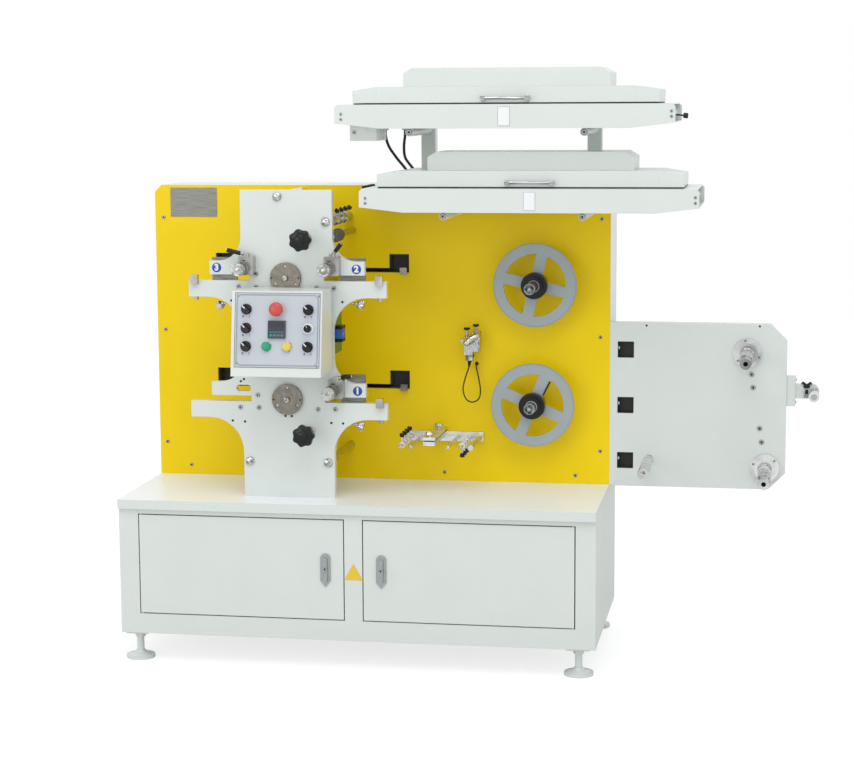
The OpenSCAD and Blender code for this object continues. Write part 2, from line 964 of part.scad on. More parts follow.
sensor_x = 920;
sensor_h = 404;

module web_sensor() {
    color(steel) in_place()
        translate([sensor_x, 0, table_z + sensor_h]) {
            block([24, panel_y - 60, -20], [40, panel_y, 34]);
            block([0, panel_y - 60, -30], [24, panel_y - 26, 4]);
            block([-10, panel_y - 56, 4], [24, panel_y - 30, 14]);
            translate([14, panel_y - 43, -46])
                cylinder(d = 24, h = 16, $fn = 32);
            translate([6, panel_y - 43, 14])
                cylinder(d = 8, h = 34, $fn = 24);
            translate([32, panel_y - 43, 34])
                cylinder(d = 8, h = 24, $fn = 24);
        }
}

// Swept tube for cables: a smooth curve through chosen points, with a fixed number of sides

function unit(v) = v / norm(v);

function curve_point(p, i, t) =
    let (a = p[max(i - 1, 0)], b = p[i], c = p[i + 1], d = p[min(i + 2, len(p) - 1)])
    0.5 * (2 * b + (c - a) * t + (2 * a - 5 * b + 4 * c - d) * t * t
           + (3 * b - a - 3 * c + d) * t * t * t);

function curve(p, steps) = concat(
    [for (i = [0 : len(p) - 2]) for (k = [0 : steps - 1]) curve_point(p, i, k / steps)],
    [p[len(p) - 1]]);

function heading(q, i) = unit(q[min(i + 1, len(q) - 1)] - q[max(i - 1, 0)]);

function sideways(q, n, i = 0) = i == len(q) ? [] :
    let (t = heading(q, i), m = unit(n - (n * t) * t))
    concat([m], sideways(q, m, i + 1));

module tube(route, d, steps, start, sides = 8) {
    q = curve(route, steps);
    n = sideways(q, start);
    count = len(q);
    points = [for (i = [0 : count - 1]) for (k = [0 : sides - 1])
        let (a = 360 * k / sides)
        q[i] + d / 2 * (cos(a) * n[i] + sin(a) * cross(heading(q, i), n[i]))];
    faces = concat(
        [[for (k = [0 : sides - 1]) k]],
        [for (i = [0 : count - 2]) for (k = [0 : sides - 1])
            [i * sides + k, (i + 1) * sides + k,
             (i + 1) * sides + (k + 1) % sides, i * sides + (k + 1) % sides]],
        [[for (k = [sides - 1 : -1 : 0]) (count - 1) * sides + k]]);
    polyhedron(points = points, faces = faces);
}

// The sensor's lead, from its gland down in a loop and back up into the panel
sensor_cable_d = 4;
sensor_route = [
    [934, 364, 818], [932, 364, 800], [922, 364, 770], [914, 366, 735], [922, 368, 706],
    [940, 372, 696], [958, 376, 706], [962, 380, 730], [955, 386, 770], [948, 394, 795],
    [948, 407, 802]
];

module web_sensor_cable() {
    color(black_plastic) in_place()
        tube(sensor_route, sensor_cable_d, 4, [1, 0, 0]);
}

// Web guide: a bar on the panel with guide rods, collars and a clamp block

guide_x = 758;
guide_w = 223;
guide_z = 132;
guide_bar_h = 28;
guide_bar_t = 14;
collar_first = 18;
collar_pitch = 40;
// Sliding clamp block on the bar: two jaws with a slit between them and two knobs on top
slider_x = 68;
slider_w = 38;
slider_h = 34;
slider_split = 1.5;
slider_reach = 120;
slider_knob_d = 22;
slider_knob_h = 16;
// Guide rods: position along the press, diameter and reach from the panel
guide_rods = [[761, 14, 200], [791, 14, 200], [896, 14, 200], [931, 14, 190], [959, 20, 195]];

module web_guide() {
    y0 = panel_y - guide_bar_t;
    color(steel) in_place()
        translate([0, 0, table_z]) {
            block([guide_x - 12, y0, guide_z - guide_bar_h / 2],
                  [guide_x - 12 + guide_w, panel_y, guide_z + guide_bar_h / 2]);
            for (g = guide_rods)
                rod(g[0], panel_y - g[2], y0, guide_z, g[1]);
            for (i = [0 : 3])
                thumb_collar(guide_rods[0][0], panel_y - guide_rods[0][2] + collar_first
                             + collar_pitch * i, guide_z, guide_rods[0][1]);
            for (i = [0 : 2])
                translate([0, 0, 2 * guide_z])
                    mirror([0, 0, 1])
                        thumb_collar(guide_rods[3][0], panel_y - guide_rods[3][2] + collar_first
                                     + collar_pitch * i, guide_z, guide_rods[3][1]);
            translate([guide_x + slider_x, panel_y - slider_reach, guide_z]) {
                block([0, 0, -slider_h / 2], [slider_w, slider_reach - guide_bar_t, -slider_split]);
                block([0, 0, slider_split], [slider_w, slider_reach - guide_bar_t, slider_h / 2]);
                block([4, 6, -slider_split], [slider_w - 4, slider_reach - guide_bar_t, slider_split]);
                for (y = [slider_knob_d, slider_reach - guide_bar_t - slider_knob_d])
                    translate([slider_w / 2, y, slider_h / 2]) {
                        cylinder(d = slider_knob_d / 2, h = slider_knob_h, $fn = 24);
                        translate([0, 0, slider_knob_h / 2])
                            cylinder(d = slider_knob_d, h = slider_knob_h / 2, $fn = 36);
                    }
            }
        }
}

// Side arm with three pockets, through which it is bolted to the housing

pocket_x = 22;
pocket_rows = [392, 233, 74];

module side_arm() {
    color(pale_paint) in_place()
        difference() {
            upright(panel_back - panel_t, panel_back - panel_t + arm_t)
                translate([cabinet_w, arm_z])
                    polygon([[0, 0], [arm_w - arm_cut, 0], [arm_w, arm_cut],
                             [arm_w, arm_h - arm_cut], [arm_w - arm_cut, arm_h], [0, arm_h]]);
            for (z = pocket_rows)
                block([cabinet_w + pocket_x, panel_y - 1, arm_z + z - pocket / 2],
                      [cabinet_w + pocket_x + pocket, panel_y + pocket_depth, arm_z + z + pocket / 2]);
        }
}

upper_spindle_place = [1716, 387];
lower_spindle_place = [1769, 60];
flange_t = 14;
collar_reach = 34;
journal_d = 32;

module spindle_flange(place) {
    translate([place[0], 0, table_z + place[1]])
        difference() {
            union() {
                rod(0, panel_y - flange_t, panel_y, 0, flange_d);
                rod(0, panel_y - collar_reach, panel_y - flange_t, 0, collar_d);
            }
            rod(0, panel_y - collar_reach - 1, panel_y - bore_floor, 0,
                journal_d + 2 * running_gap);
        }
}

idler_place = [1443, 80];
idler_shaft_d = 12;
idler_start = 14;

// Both spindle flanges and the fixed shaft of the idler roller
module arm_bearings() {
    color(pale_paint) in_place() {
        spindle_flange(upper_spindle_place);
        spindle_flange(lower_spindle_place);
        translate([idler_place[0], 0, table_z + idler_place[1]]) {
            rod(0, panel_y - idler_reach + 8, panel_y, 0, idler_shaft_d);
            rod(0, panel_y - idler_start + 4, panel_y, 0, 22);
        }
    }
}

// A stepped web spindle: tip, nose, seat for the core, and journal in the flange
tip_t = 24;
nose_t = 62;
nose_d = 28;

module spindle(place) {
    front = panel_y - spindle_reach;
    translate([place[0], 0, table_z + place[1]])
        difference() {
            union() {
                rod(0, panel_y - collar_reach - step_proud, panel_y - bore_floor - shaft_gap, 0,
                    journal_d);
                rod(0, front + nose_t, panel_y - collar_reach - step_proud, 0, seat_d);
                rod(0, front + tip_t, front + nose_t, 0, nose_d);
                rod(0, front, front + tip_t, 0, nose_d + 2);
            }
            rod(0, front - 1, front + tip_t + 6, 0, 13);
        }
}

module upper_spindle() {
    color(steel) in_place()
        spindle(upper_spindle_place);
}

module lower_spindle() {
    color(steel) in_place()
        spindle(lower_spindle_place);
}

module idler_roller() {
    color(steel) in_place()
        translate([idler_place[0], 0, table_z + idler_place[1]])
            difference() {
                rod(0, panel_y - idler_reach, panel_y - idler_start, 0, idler_d);
                rod(0, panel_y - idler_reach + 7.5, panel_y - idler_start + 1, 0,
                    idler_shaft_d + 2 * running_gap);
            }
}

// Edge guide at the arm's right end: a bracket, a rail and a roller stack
rail_z = 279;
rail_h = 42;
bracket_h = 86;
bracket_w = 25;
stack_d = 30;
stack_x = rail_reach - stack_d / 2;
stack_drop = 6;

module edge_rail() {
    color(pale_paint) in_place()
        translate([arm_right, panel_y, table_z + rail_z]) {
            block([0, 4, -bracket_h / 2], [bracket_w, 24, bracket_h / 2]);
            upright(8, 20) {
                translate([bracket_w, -rail_h / 2])
                    square([rail_reach - bracket_w - rail_h / 2, rail_h]);
                translate([rail_reach - rail_h / 2, 0])
                    circle(d = rail_h, $fn = 48);
            }
        }
}

// A stack of rollers on a pin that stands on the rail, with its clamp and wing knob
module edge_guide() {
    color(steel) in_place()
        translate([arm_right + stack_x, panel_y, table_z + rail_z - stack_drop]) {
            for (i = [0 : 4])
                rod(0, -62 + 14 * i, -52 + 14 * i, 0, stack_d);
            rod(0, -66, 8, 0, stack_d - 12);
            block([-28, -40, -6], [0, 8, 4]);
            translate([-20, -30, 4])
                cylinder(d = 8, h = 18, $fn = 24);
            translate([-20, -30, 16])
                cylinder(d = 18, h = 8, $fn = 28);
            for (side = [-1, 1])
                translate([-20, -30, 22])
                    rotate([0, side * 55, 0])
                        cylinder(d = 8, h = 16, $fn = 20);
        }
}

// Dryers

upper_top = table_z + lower_tray_top + tray_pitch;
lower_top = table_z + lower_tray_top;
tray_back = panel_y - tray_gap;
tray_y = tray_back - tray_d;
taper_w = 120;
taper_h = 14;
end_round = 8;

// Outline of a tray's side plate, with its lower corners drawn up
module tray_outline(x) {
    polygon([[x, -tray_h + taper_h], [x + taper_w, -tray_h], [x + tray_w - taper_w, -tray_h],
             [x + tray_w, -tray_h + taper_h], [x + tray_w, -end_round],
             [x + tray_w - end_round, 0], [x + end_round, 0], [x, -end_round]]);
}

// The space inside a tray, open at both ends
module tray_space(x) {
    polygon([[x - 1, -tray_h + taper_h + tray_skin], [x + taper_w, -tray_h + tray_skin],
             [x + tray_w - taper_w, -tray_h + tray_skin],
             [x + tray_w + 1, -tray_h + taper_h + tray_skin],
             [x + tray_w + 1, -tray_skin], [x - 1, -tray_skin]]);
}

roller_inset = 24;
end_roller_d = 26;
ledge = 8;
lid_back = tray_y + tray_d - lid_inset;

// Lid hinges: two ears and a pin on the tray, and a knuckle on the lid between them
knuckle_d = 10;
knuckle_w = 30;
ear_w = 12;
ear_gap = 0.5;
lid_pin_d = 5;
lid_hinge_y = lid_back + 8;
lid_hinge_rise = 7;

function hinge_spots(x) = [x + tray_w * 0.25, x + tray_w * 0.75];

module along_x(x0, x1, y, z, d) {
    translate([x0, y, z])
        rotate([0, 90, 0])
            cylinder(d = d, h = x1 - x0, $fn = 32);
}

module tray_hinge(x) {
    for (mid = hinge_spots(x)) {
        for (side = [-1, 1])
            translate([mid + side * (knuckle_w / 2 + ear_gap + ear_w / 2), 0, 0]) {
                along_x(-ear_w / 2, ear_w / 2, lid_hinge_y, lid_hinge_rise, knuckle_d);
                block([-ear_w / 2, lid_hinge_y - knuckle_d / 2, 0],
                      [ear_w / 2, lid_hinge_y + knuckle_d / 2, lid_hinge_rise]);
            }
        along_x(mid - knuckle_w / 2 - ear_gap, mid + knuckle_w / 2 + ear_gap, lid_hinge_y,
                lid_hinge_rise, lid_pin_d);
    }
}

// Trough with a flanged top, end rollers for the web and the fixed half of the lid's hinges
module tray(x, top) {
    lid_x = x + (tray_w - lid_w) / 2;
    translate([0, 0, top]) {
        difference() {
            upright(tray_y, tray_back)
                tray_outline(x);
            upright(tray_y + tray_skin, tray_back - tray_skin)
                tray_space(x);
            block([lid_x + ledge, tray_y + lid_inset + ledge, -tray_skin - 1],
                  [lid_x + lid_w - ledge, lid_back - ledge, 1]);
        }
        for (u = [roller_inset, tray_w - roller_inset])
            rod(x + u, tray_y + tray_skin, tray_back - tray_skin, -tray_h * 0.42, end_roller_d);
        tray_hinge(x);
    }
}

// A lid is an open pan turned down over the tray: a folded channel with two welded end caps,
// whose roofs slope off
lid_slope = 66;
lid_drop = 10;

module lid_outline(x, grow) {
    polygon([[x + grow, 0], [x + lid_w - grow, 0], [x + lid_w - grow, lid_h - lid_drop - grow],
             [x + lid_w - lid_slope, lid_h - grow], [x + lid_slope, lid_h - grow],
             [x + grow, lid_h - lid_drop - grow]]);
}

// The pan between two distances from its left end
module lid_pan(lid_x, from, to) {
    y0 = tray_y + lid_inset;
    intersection() {
        difference() {
            upright(y0, lid_back)
                lid_outline(lid_x, 0);
            translate([0, 0, -1])
                upright(y0 + tray_skin, lid_back - tray_skin)
                    lid_outline(lid_x, tray_skin);
        }
        block([lid_x + from, y0 - 1, -1], [lid_x + to, lid_back + 1, lid_h + 1]);
    }
}

module lid_ends(x, top) {
    lid_x = x + (tray_w - lid_w) / 2;
    translate([0, 0, top + lid_gap]) {
        lid_pan(lid_x, 0, lid_slope);
        lid_pan(lid_x, lid_w - lid_slope, lid_w);
    }
}

module lid(x, top) {
    lid_x = x + (tray_w - lid_w) / 2;
    knuckle_rise = lid_hinge_rise - lid_gap;
    translate([0, 0, top + lid_gap]) {
        lid_pan(lid_x, lid_slope, lid_w - lid_slope);
        for (mid = hinge_spots(x))
            difference() {
                union() {
                    along_x(mid - knuckle_w / 2, mid + knuckle_w / 2, lid_hinge_y, knuckle_rise,
                            knuckle_d);
                    block([mid - knuckle_w / 2, lid_back - 1, knuckle_rise],
                          [mid + knuckle_w / 2, lid_hinge_y, knuckle_rise + knuckle_d / 2]);
                }
                along_x(mid - knuckle_w / 2 - 1, mid + knuckle_w / 2 + 1, lid_hinge_y,
                        knuckle_rise, lid_pin_d + 2 * running_gap);
            }
    }
}

// Closed lamp housing on a lid, with its upper corners cut
lamp_slope = 24;
lamp_drop = 14;

module lamp_housing(x, top) {
    lamp_x = x + (tray_w - lamp_w) / 2;
    lamp_y = tray_y + lamp_inset;
    translate([0, 0, top + lid_gap + lid_h])
        upright(lamp_y, lamp_y + lamp_d)
            polygon([[lamp_x, 0], [lamp_x + lamp_w, 0],
                     [lamp_x + lamp_w, lamp_h - lamp_drop],
                     [lamp_x + lamp_w - lamp_slope, lamp_h], [lamp_x + lamp_slope, lamp_h],
                     [lamp_x, lamp_h - lamp_drop]]);
}

// Pull handle on a lid's front: a rail between two end blocks
handle_w = 132;
handle_x = 394;
handle_rise = 14;

module lid_handle(x, top) {
    y0 = tray_y + lid_inset;
    translate([x + handle_x, y0, top + lid_gap + handle_rise]) {
        for (u = [0, handle_w - 12])
            block([u, -20, -8], [u + 12, 0, 4]);
        along_x(12, handle_w - 12, -14, -2, 9);
    }
}

// Glands under the upper tray, which hold the dryer cables
gland_d = 18;
gland_low = 1470;
left_gland = [692, 380];
right_gland = [748, 380];

module upper_tray() {
    color(pale_paint) in_place() {
        tray(upper_tray_x, upper_top);
        for (g = [left_gland, right_gland])
            translate([g[0], g[1], gland_low])
                cylinder(d = gland_d, h = upper_top - tray_h + taper_h - 2 - gland_low, $fn = 32);
    }
}

module upper_lid() {
    color(pale_paint) in_place()
        lid(upper_tray_x, upper_top);
}

module upper_lid_ends() {
    color(pale_paint) in_place()
        lid_ends(upper_tray_x, upper_top);
}

module upper_lamp_housing() {
    color(pale_paint) in_place()
        lamp_housing(upper_tray_x, upper_top);
}

module upper_handle() {
    color(steel) in_place()
        lid_handle(upper_tray_x, upper_top);
}

module lower_tray() {
    color(pale_paint) in_place()
        tray(lower_tray_x, lower_top);
}

module lower_lid() {
    color(pale_paint) in_place()
        lid(lower_tray_x, lower_top);
}

module lower_lid_ends() {
    color(pale_paint) in_place()
        lid_ends(lower_tray_x, lower_top);
}

module lower_lamp_housing() {
    color(pale_paint) in_place()
        lamp_housing(lower_tray_x, lower_top);
}

module lower_handle() {
    color(steel) in_place()
        lid_handle(lower_tray_x, lower_top);
}

// Terminal box under the upper tray's left end
terminal_x = 30;
terminal_w = 74;
terminal_drop = 34;

module terminal_box() {
    color(pale_paint) in_place()
        translate([upper_tray_x, 0, upper_top - tray_h])
            upright(tray_y + 60, tray_y + 200)
                polygon([[terminal_x, -terminal_drop], [terminal_x + terminal_w, -terminal_drop],
                         [terminal_x + terminal_w, taper_h * (1 - (terminal_x + terminal_w) / taper_w)],
                         [terminal_x, taper_h * (1 - terminal_x / taper_w)]]);
}

// Posts on the housing and rods that carry both dryers
post_y = 430;
post_places = [786, 1261];
lower_carriers = [903, 1280];

module dryer_posts() {
    color(pale_paint) in_place() {
        for (x = post_places) {
            block([x, post_y, panel_top], [x + post_w, post_y + post_w, upper_top - tray_h]);
            rod(x + post_w / 2, tray_y + 60, post_y, upper_top - tray_h - carrier_d / 2, carrier_d);
        }
        for (x = lower_carriers)
            rod(x, tray_y + 30, panel_y, lower_top - tray_h - carrier_d / 2, carrier_d);
    }
}

// Dryer cables: from under the upper tray down behind the lower dryer to the housing
dryer_cable_d = 8;
left_cable_route = [
    [692, 380, 1470], [692, 380, 1455], [698, 392, 1425], [716, 420, 1390], [732, 455, 1362],
    [741, 480, 1340], [742, 484, 1323]
];
right_cable_route = [
    [748, 380, 1470], [748, 380, 1455], [742, 394, 1425], [740, 422, 1392], [752, 455, 1365],
    [766, 480, 1342], [768, 484, 1323]
];

module left_dryer_cable() {
    color(black_plastic) in_place()
        tube(left_cable_route, dryer_cable_d, 4, [1, 0, 0]);
}

module right_dryer_cable() {
    color(black_plastic) in_place()
        tube(right_cable_route, dryer_cable_d, 4, [1, 0, 0]);
}

cabinet_shell();
cabinet_front();
table_top();
levelling_feet();
left_door();
right_door();
left_door_lock();
right_door_lock();
housing();
yellow_panel();
nameplate();
cross_plate();
tie_rods();
impression_drums();
bearing_covers();
star_knobs();
control_box();
control_panel();
emergency_stop();
push_buttons();
selector_switches();
temperature_controller();
unit_adjusters();
unit_latches();
slide_plates();
relay_board();
reel_bearings();
upper_reel();
upper_reel_hub();
lower_reel();
lower_reel_hub();
web_sensor();
web_sensor_cable();
web_guide();
side_arm();
arm_bearings();
upper_spindle();
lower_spindle();
idler_roller();
edge_rail();
edge_guide();
dryer_posts();
terminal_box();
upper_tray();
upper_lid();
upper_lid_ends();
upper_lamp_housing();
upper_handle();
lower_tray();
lower_lid();
lower_lid_ends();
lower_lamp_housing();
lower_handle();
left_dryer_cable();
right_dryer_cable();
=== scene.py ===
import json
from math import cos, dist, pi, radians, sin

import bmesh
import bpy
from mathutils import Matrix, Vector

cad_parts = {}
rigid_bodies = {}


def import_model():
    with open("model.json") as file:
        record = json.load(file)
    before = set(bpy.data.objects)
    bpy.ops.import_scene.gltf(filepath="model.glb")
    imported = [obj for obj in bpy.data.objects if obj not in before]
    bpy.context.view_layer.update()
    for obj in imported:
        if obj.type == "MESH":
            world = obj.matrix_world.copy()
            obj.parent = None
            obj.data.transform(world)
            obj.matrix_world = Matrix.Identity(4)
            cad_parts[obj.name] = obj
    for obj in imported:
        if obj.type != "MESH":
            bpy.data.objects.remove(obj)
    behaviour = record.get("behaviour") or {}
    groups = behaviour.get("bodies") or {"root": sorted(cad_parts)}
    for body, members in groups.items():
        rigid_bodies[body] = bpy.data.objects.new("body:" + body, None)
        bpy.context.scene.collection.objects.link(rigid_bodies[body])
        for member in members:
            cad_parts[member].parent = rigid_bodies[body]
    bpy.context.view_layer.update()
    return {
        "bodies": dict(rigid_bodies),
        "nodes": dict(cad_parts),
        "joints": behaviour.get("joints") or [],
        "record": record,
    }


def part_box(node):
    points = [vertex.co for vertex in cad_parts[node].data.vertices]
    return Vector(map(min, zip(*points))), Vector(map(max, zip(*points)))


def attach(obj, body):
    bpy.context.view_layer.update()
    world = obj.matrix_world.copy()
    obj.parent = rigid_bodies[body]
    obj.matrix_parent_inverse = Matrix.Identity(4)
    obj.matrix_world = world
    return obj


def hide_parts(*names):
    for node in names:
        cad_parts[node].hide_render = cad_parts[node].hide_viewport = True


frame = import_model()
nodes = frame["nodes"]


# Camera: at standing height in front of the press's right half, turned a little to the left
# and looking down, through a long lens.
def add_object(name, data):
    made = bpy.data.objects.new(name, data)
    bpy.context.collection.objects.link(made)
    return made


lens = bpy.data.cameras.new("camera")
lens.sensor_width, lens.lens = 36, 88.03
camera = add_object("camera", lens)
to_left, downward, tilt = 0.1716, 0.1375, -0.0056
camera.matrix_world = (Matrix.Translation((0.8645, -5.7527, 1.5664))
                       @ Matrix.Rotation(to_left, 4, "Z")
                       @ Matrix.Rotation(pi / 2 - downward, 4, "X")
                       @ Matrix.Rotation(tilt, 4, "Z"))
bpy.context.scene.camera = camera
bpy.context.scene.view_settings.view_transform = "Standard"


# Cords: the sensor's thin lead and the two dryer cables, in black soft PVC, which is smooth
# with a dull sheen. Each goes out of one gland and back into the press.
def linear(code):
    channels = [int(code[i:i + 2], 16) / 255 for i in (1, 3, 5)]
    return [c / 12.92 if c <= 0.04045 else ((c + 0.055) / 1.055) ** 2.4 for c in channels] + [1]


def add(tree, kind, settings=None, values=None, links=None):
    node = tree.nodes.new(kind)
    for key, value in (settings or {}).items():
        setattr(node, key, value)
    for key, value in (values or {}).items():
        node.inputs[key].default_value = value
    for key, socket in (links or {}).items():
        tree.links.new(socket, node.inputs[key])
    return node


def blank_material(name):
    material = bpy.data.materials.new(name)
    material.use_nodes = True
    tree = material.node_tree
    tree.nodes.clear()
    place = add(tree, "ShaderNodeTexCoord").outputs["Object"]
    return material, tree, place


def dress(tree, values, links):
    shader = add(tree, "ShaderNodeBsdfPrincipled", values=values, links=links)
    add(tree, "ShaderNodeOutputMaterial", links={"Surface": shader.outputs[0]})


def moulded(name, dark, light, rough, grain_mm, depth_mm=0.02, coat=0.0, gloss=0.5):
    # Two close shades in soft patches and a fine moulded or sprayed texture
    material, tree, place = blank_material(name)
    patches = add(tree, "ShaderNodeTexNoise", values={"Scale": 9.0, "Detail": 4.0},
                  links={"Vector": place})
    shades = add(tree, "ShaderNodeMix", {"data_type": "RGBA"},
                 {6: linear(dark), 7: linear(light)}, {0: patches.outputs[0]})
    grain = add(tree, "ShaderNodeTexNoise", values={"Scale": 1000 / grain_mm, "Detail": 2.0},
                links={"Vector": place})
    round_edge = add(tree, "ShaderNodeBevel", {"samples": 4}, {"Radius": 0.0012})
    bump = add(tree, "ShaderNodeBump", values={"Strength": 0.35, "Distance": depth_mm / 1000},
               links={"Height": grain.outputs[0], "Normal": round_edge.outputs[0]})
    dress(tree, {"Roughness": rough, "Specular IOR Level": gloss, "Coat Weight": coat,
                 "Coat Roughness": 0.12},
          {"Base Color": shades.outputs[2], "Normal": bump.outputs[0]})
    return material


MID_X, MID_Y = 958, 272.564


def at(x, y, z):
    # Press millimetres, from the cabinet's left front corner on the floor, to the shared frame
    return Vector(((x - MID_X) / 1000, (y - MID_Y) / 1000, z / 1000))


def smooth_route(points):
    # One smooth curve through the points, with four straight steps between each two
    steps = 4
    route = [at(*p) for p in points]
    line = []
    for i in range(len(route) - 1):
        a, b, c, d = (route[max(i - 1, 0)], route[i], route[i + 1],
                      route[min(i + 2, len(route) - 1)])
        for k in range(steps):
            t = k / steps
            line.append(0.5 * (2 * b + (c - a) * t + (2 * a - 5 * b + 4 * c - d) * t * t
                               + (3 * b - a - 3 * c + d) * t ** 3))
    return line + [route[-1]]


cable_jacket = moulded("soft_pvc_cable_jacket", "#15161a", "#1e2024", 0.5, 1.2)


def lay_cord(name, node, points, diameter):
    line = smooth_route(points)
    curve = bpy.data.curves.new(name, "CURVE")
    curve.dimensions = "3D"
    curve.bevel_depth = diameter / 2
    curve.bevel_resolution = 4
    curve.use_fill_caps = True
    spline = curve.splines.new("POLY")
    spline.points.add(len(line) - 1)
    for point, place in zip(spline.points, line):
        point.co = (*place, 1)
    curve.materials.append(cable_jacket)
    piece = add_object(name, curve)
    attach(piece, "press_frame")
    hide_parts(node)


lay_cord("sensor_lead", "web_sensor_cable", [
    (934, 364, 818), (932, 364, 800), (922, 364, 770), (914, 366, 735), (922, 368, 706),
    (940, 372, 696), (958, 376, 706), (962, 380, 730), (955, 386, 770), (948, 394, 795),
    (948, 407, 802)], 0.004)
lay_cord("left_dryer_lead", "left_dryer_cable", [
    (692, 380, 1470), (692, 380, 1455), (698, 392, 1425), (716, 420, 1390), (732, 455, 1362),
    (741, 480, 1340), (742, 484, 1323)], 0.008)
lay_cord("right_dryer_lead", "right_dryer_cable", [
    (748, 380, 1470), (748, 380, 1455), (742, 394, 1425), (740, 422, 1392), (752, 455, 1365),
    (766, 480, 1342), (768, 484, 1323)], 0.008)


# Studio: a pale floor that keeps the press's shadow, a white world behind it, a broad soft
# lamp overhead in front and a weaker one from the left.
world = bpy.data.worlds.new("studio")
bpy.context.scene.world = world
world.use_nodes = True
air = world.node_tree
air.nodes.clear()
rays = add(air, "ShaderNodeLightPath")
seen = add(air, "ShaderNodeMath", {"operation": "MAXIMUM"},
           links={0: rays.outputs["Is Camera Ray"], 1: rays.outputs["Is Transmission Ray"]})
seen = add(air, "ShaderNodeMath", {"operation": "MAXIMUM"},
           links={0: seen.outputs[0], 1: rays.outputs["Is Glossy Ray"]})
fill = add(air, "ShaderNodeBackground", values={"Color": linear("#f4f6f8"), "Strength": 0.92})
white = add(air, "ShaderNodeBackground", values={"Color": (1, 1, 1, 1), "Strength": 1.0})
both = add(air, "ShaderNodeMixShader", links={0: seen.outputs[0], 1: fill.outputs[0],
                                             2: white.outputs[0]})
add(air, "ShaderNodeOutputWorld", links={"Surface": both.outputs[0]})

floor_finish, tree, place = blank_material("pale_studio_floor")
rays = add(tree, "ShaderNodeLightPath")
matt = add(tree, "ShaderNodeBsdfDiffuse", values={"Color": linear("#e6e6e4")})
faint = add(tree, "ShaderNodeBsdfDiffuse", values={"Color": (0.35, 0.35, 0.35, 1)})
glow = add(tree, "ShaderNodeEmission", values={"Color": (1, 1, 1, 1), "Strength": 0.74})
lit = add(tree, "ShaderNodeAddShader", links={0: faint.outputs[0], 1: glow.outputs[0]})
shown = add(tree, "ShaderNodeMixShader", links={0: rays.outputs["Is Camera Ray"],
                                               1: matt.outputs[0], 2: lit.outputs[0]})
add(tree, "ShaderNodeOutputMaterial", links={"Surface": shown.outputs[0]})
ground = bpy.data.meshes.new("studio_floor")
ground.from_pydata([(-9, -9, 0), (9, -9, 0), (9, 9, 0), (-9, 9, 0)], [], [(0, 1, 2, 3)])
ground.materials.append(floor_finish)
studio_floor = add_object("studio_floor", ground)


def lamp(name, place, aim, width, height, power):
    light = bpy.data.lights.new(name, "AREA")
    light.shape = "RECTANGLE"
    light.size, light.size_y, light.energy = width, height, power
    hung = add_object(name, light)
    hung.location = place
    hung.rotation_euler = (Vector(aim) - Vector(place)).to_track_quat("-Z", "Y").to_euler()


lamp("overhead_softbox", (0.3, -2.8, 4.6), (0, 0, 0.7), 3.4, 2.6, 62)
lamp("front_left_softbox", (-3.2, -5.4, 2.2), (0, 0, 0.8), 2.6, 2.2, 30)


# Cabinet: bent sheet steel with two pan doors, sprayed with pale grey enamel that is semi-gloss
# with a fine orange-peel skin, under a worktop whose upper face is painted whiter as painted
# light from above. The locks are die-cast zinc with a satin nickel plate.
def coat(material, *names):
    for name in names:
        slots = nodes[name].data.materials
        slots.clear()
        slots.append(material)


def machined(name, dark, light, rough, mark_mm, stretch):
    # Two shades drawn out along the tool's path, with roughness and fine relief that follow it.
    # The shades are partly real tool marks and partly painted reflection of bright and dark
    # surroundings
    material, tree, place = blank_material(name)
    drawn = add(tree, "ShaderNodeMapping", values={"Scale": stretch}, links={"Vector": place})
    tool_marks_and_reflection = add(tree, "ShaderNodeTexNoise", values={"Scale": 1000 / mark_mm, "Detail": 3.0},
                links={"Vector": drawn.outputs[0]})
    # A narrow range sharpens the marks into light and dark bands of painted reflection
    darkest, palest = 0.38, 0.62
    spread = add(tree, "ShaderNodeMapRange", values={1: darkest, 2: palest},
                 links={0: tool_marks_and_reflection.outputs[0]})
    shades = add(tree, "ShaderNodeMix", {"data_type": "RGBA"},
                 {6: linear(dark), 7: linear(light)}, {0: spread.outputs[0]})
    rough_range = add(tree, "ShaderNodeMapRange", values={3: rough * 0.8, 4: rough * 1.25},
                      links={0: tool_marks_and_reflection.outputs[0]})
    round_edge = add(tree, "ShaderNodeBevel", {"samples": 4}, {"Radius": 0.0008})
    bump = add(tree, "ShaderNodeBump", values={"Strength": 0.25, "Distance": 0.00002},
               links={"Height": tool_marks_and_reflection.outputs[0], "Normal": round_edge.outputs[0]})
    dress(tree, {"Metallic": 1.0}, {"Base Color": shades.outputs[2],
                                    "Roughness": rough_range.outputs[0],
                                    "Normal": bump.outputs[0]})
    return material


ACROSS, UPWARD = (1, 0, 0), (0, 0, 1)


def stand(origin, direction):
    # A frame whose third axis runs along a direction, from an origin in press millimetres
    turned = Vector(direction).to_track_quat("Z", "Y").to_matrix().to_4x4()
    return Matrix.Translation(at(*origin)) @ turned @ Matrix.Scale(0.001, 4)


def front(x, y, z):
    # The same, straight out of the press's front
    return stand((x, y, z), (0, -1, 0))


def facing(origin, across=ACROSS, upward=UPWARD):
    # A frame on a flat face: across and up it, with the third axis out of it
    out = Vector(across).cross(Vector(upward))
    axes = Matrix((across, upward, out)).transposed().to_4x4()
    return Matrix.Translation(at(*origin)) @ axes @ Matrix.Scale(0.001, 4)


